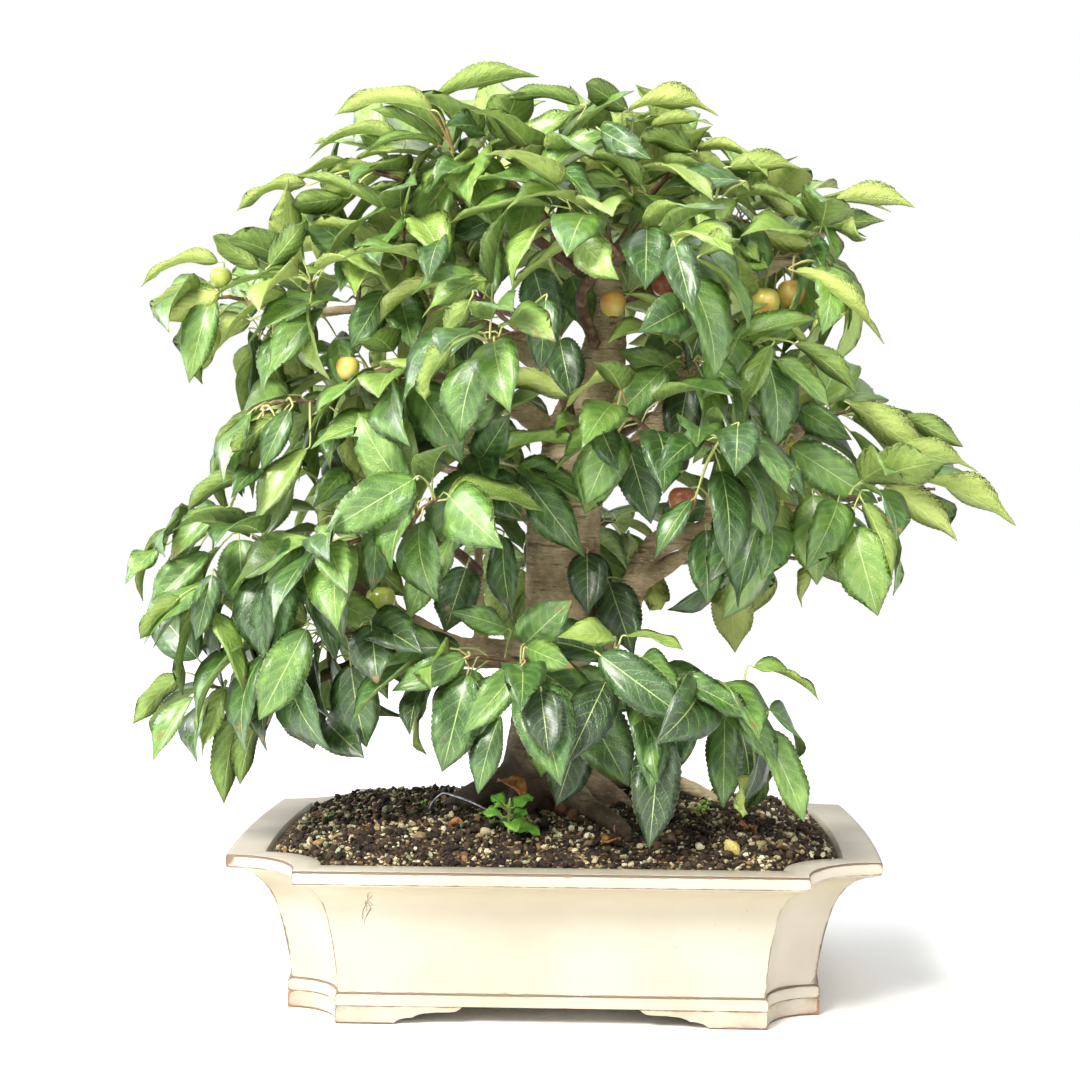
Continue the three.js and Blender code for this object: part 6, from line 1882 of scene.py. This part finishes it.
stones = [
    # pixels across and down in the camera's view, radius in mm, colour
    (562, 812, 6.5, "#6d4433"), (572, 818, 5, "#75503c"), (621, 834, 5.5, "#b28a5e"),
    (595, 799, 6, "#a07a4c"), (733, 852, 6.5, "#cdbb72"), (522, 821, 3.5, "#d9c452"),
    (700, 848, 3.4, "#d6cfae"), (760, 846, 3.6, "#a99a6e"), (486, 834, 3.8, "#c9bd95"),
    (420, 838, 4.2, "#8a7350"), (352, 842, 3.6, "#b9ad8a"), (318, 846, 4, "#9c7f55"),
    (640, 848, 3.4, "#c2b68c"), (672, 842, 4, "#6f5440"), (792, 838, 3.8, "#b49a6a"),
    (806, 822, 3.2, "#d8cfae"), (300, 830, 3.4, "#cdbf93"), (386, 812, 3.6, "#7d8666"),
    (548, 842, 3.2, "#b9ad8a"), (588, 846, 4, "#7d6244"),
]
stoneShape = {"seed": 77, "lump": 0.22, "lift": 0.3}
moss = {
    # pixels across and down in the camera's view, radius in mm
    "patches": [(711, 803, 9), (650, 795, 8), (700, 812, 5), (420, 806, 6), (330, 818, 6)],
    "tuftsEach": 46,
    "tuft": (0.9, 1.9),
    "shape": (0.8, 0.8, 1.2),
    "greens": ["#6f9a3a", "#86ad45", "#5d8a35", "#9bbd5a"],
}


def makeStones():
    draw = random.Random(stoneShape["seed"])
    shape, faces = crumbShape(0, 0.0, 3)
    bodies = []
    for across, down, radius, colour in stones:
        offset = draw.uniform(0, 50)
        start = Vector((offset, 0, 0))
        lumps = [1 + stoneShape["lump"] * noise.noise(Vector(p * 1.4) + start) for p in shape]
        stretch = np.array([draw.uniform(0.9, 1.3), draw.uniform(0.8, 1.1), draw.uniform(0.55, 0.8)])
        body = (shape * np.array(lumps)[:, None] * stretch) @ turned(draw).T * radius
        bodies.append((body + onSoil(across, down) + up * radius * stoneShape["lift"], faces, colour))
    tuft, faces = crumbShape(4, 0.4)
    for across, down, reach in moss["patches"]:
        middle = onSoil(across, down)
        for _ in range(moss["tuftsEach"]):
            angle, away = draw.uniform(0, math.tau), reach * math.sqrt(draw.random())
            x, y = middle[0] + away * math.cos(angle), middle[1] + away * math.sin(angle)
            size = draw.uniform(*moss["tuft"])
            body = tuft * size * np.array(moss["shape"]) + (x, y, soilHeight(x, y) + size * 0.5)
            bodies.append((body, faces, draw.choice(moss["greens"])))
    piece = heaped("stones_and_moss", bodies)
    shadeSmooth(piece, 40)
    finishPiece(piece, "soil")


litter = [
    # pixels across and down of a dry leaf's middle, turn on the soil, length in mm, how far it stands up
    (612, 842, 0.4, 22, 0.15), (454, 826, 2.6, 26, 0.1), (748, 830, 0.2, 24, 0.2), (372, 828, 1.2, 20, 0.1),
]
leaning = (np.array([-29, -66, 166]), 2.4, 36, 2.2)  # the same for one against the trunk, its middle in mm
litterShape = {"footShare": 0.4, "lift": 1.6, "widthShare": 0.55, "seed": 5}
crisp = {"ruffle": 2.6, "twist": 0.8, "tone": 0.5, "youth": 0.0, "age": 1.0}


def makeLitter():
    draw = random.Random(litterShape["seed"])
    poses = []
    for middle, turn, length, stand in [(onSoil(*row[:2]), *row[2:]) for row in litter] + [leaning]:
        heading = unit(np.array([math.cos(turn), math.sin(turn), stand]))
        base = middle - heading * length * litterShape["footShare"] + up * litterShape["lift"]
        bend, fold = draw.uniform(0.9, 1.5), draw.uniform(0.3, 0.7)
        width = length * litterShape["widthShare"]
        poses.append(posed(base, heading, up, length=length, width=width, bend=bend, fold=fold, **crisp))
    piece = makeBlades("litter", poses, dried, dried)
    piece.name = "dry_leaves"
    finishPiece(piece, "soil")


makeSeedling()
makeWire()
makeScreens()
makeStones()
makeLitter()
print("seedling, wire, screens, stones and litter made")
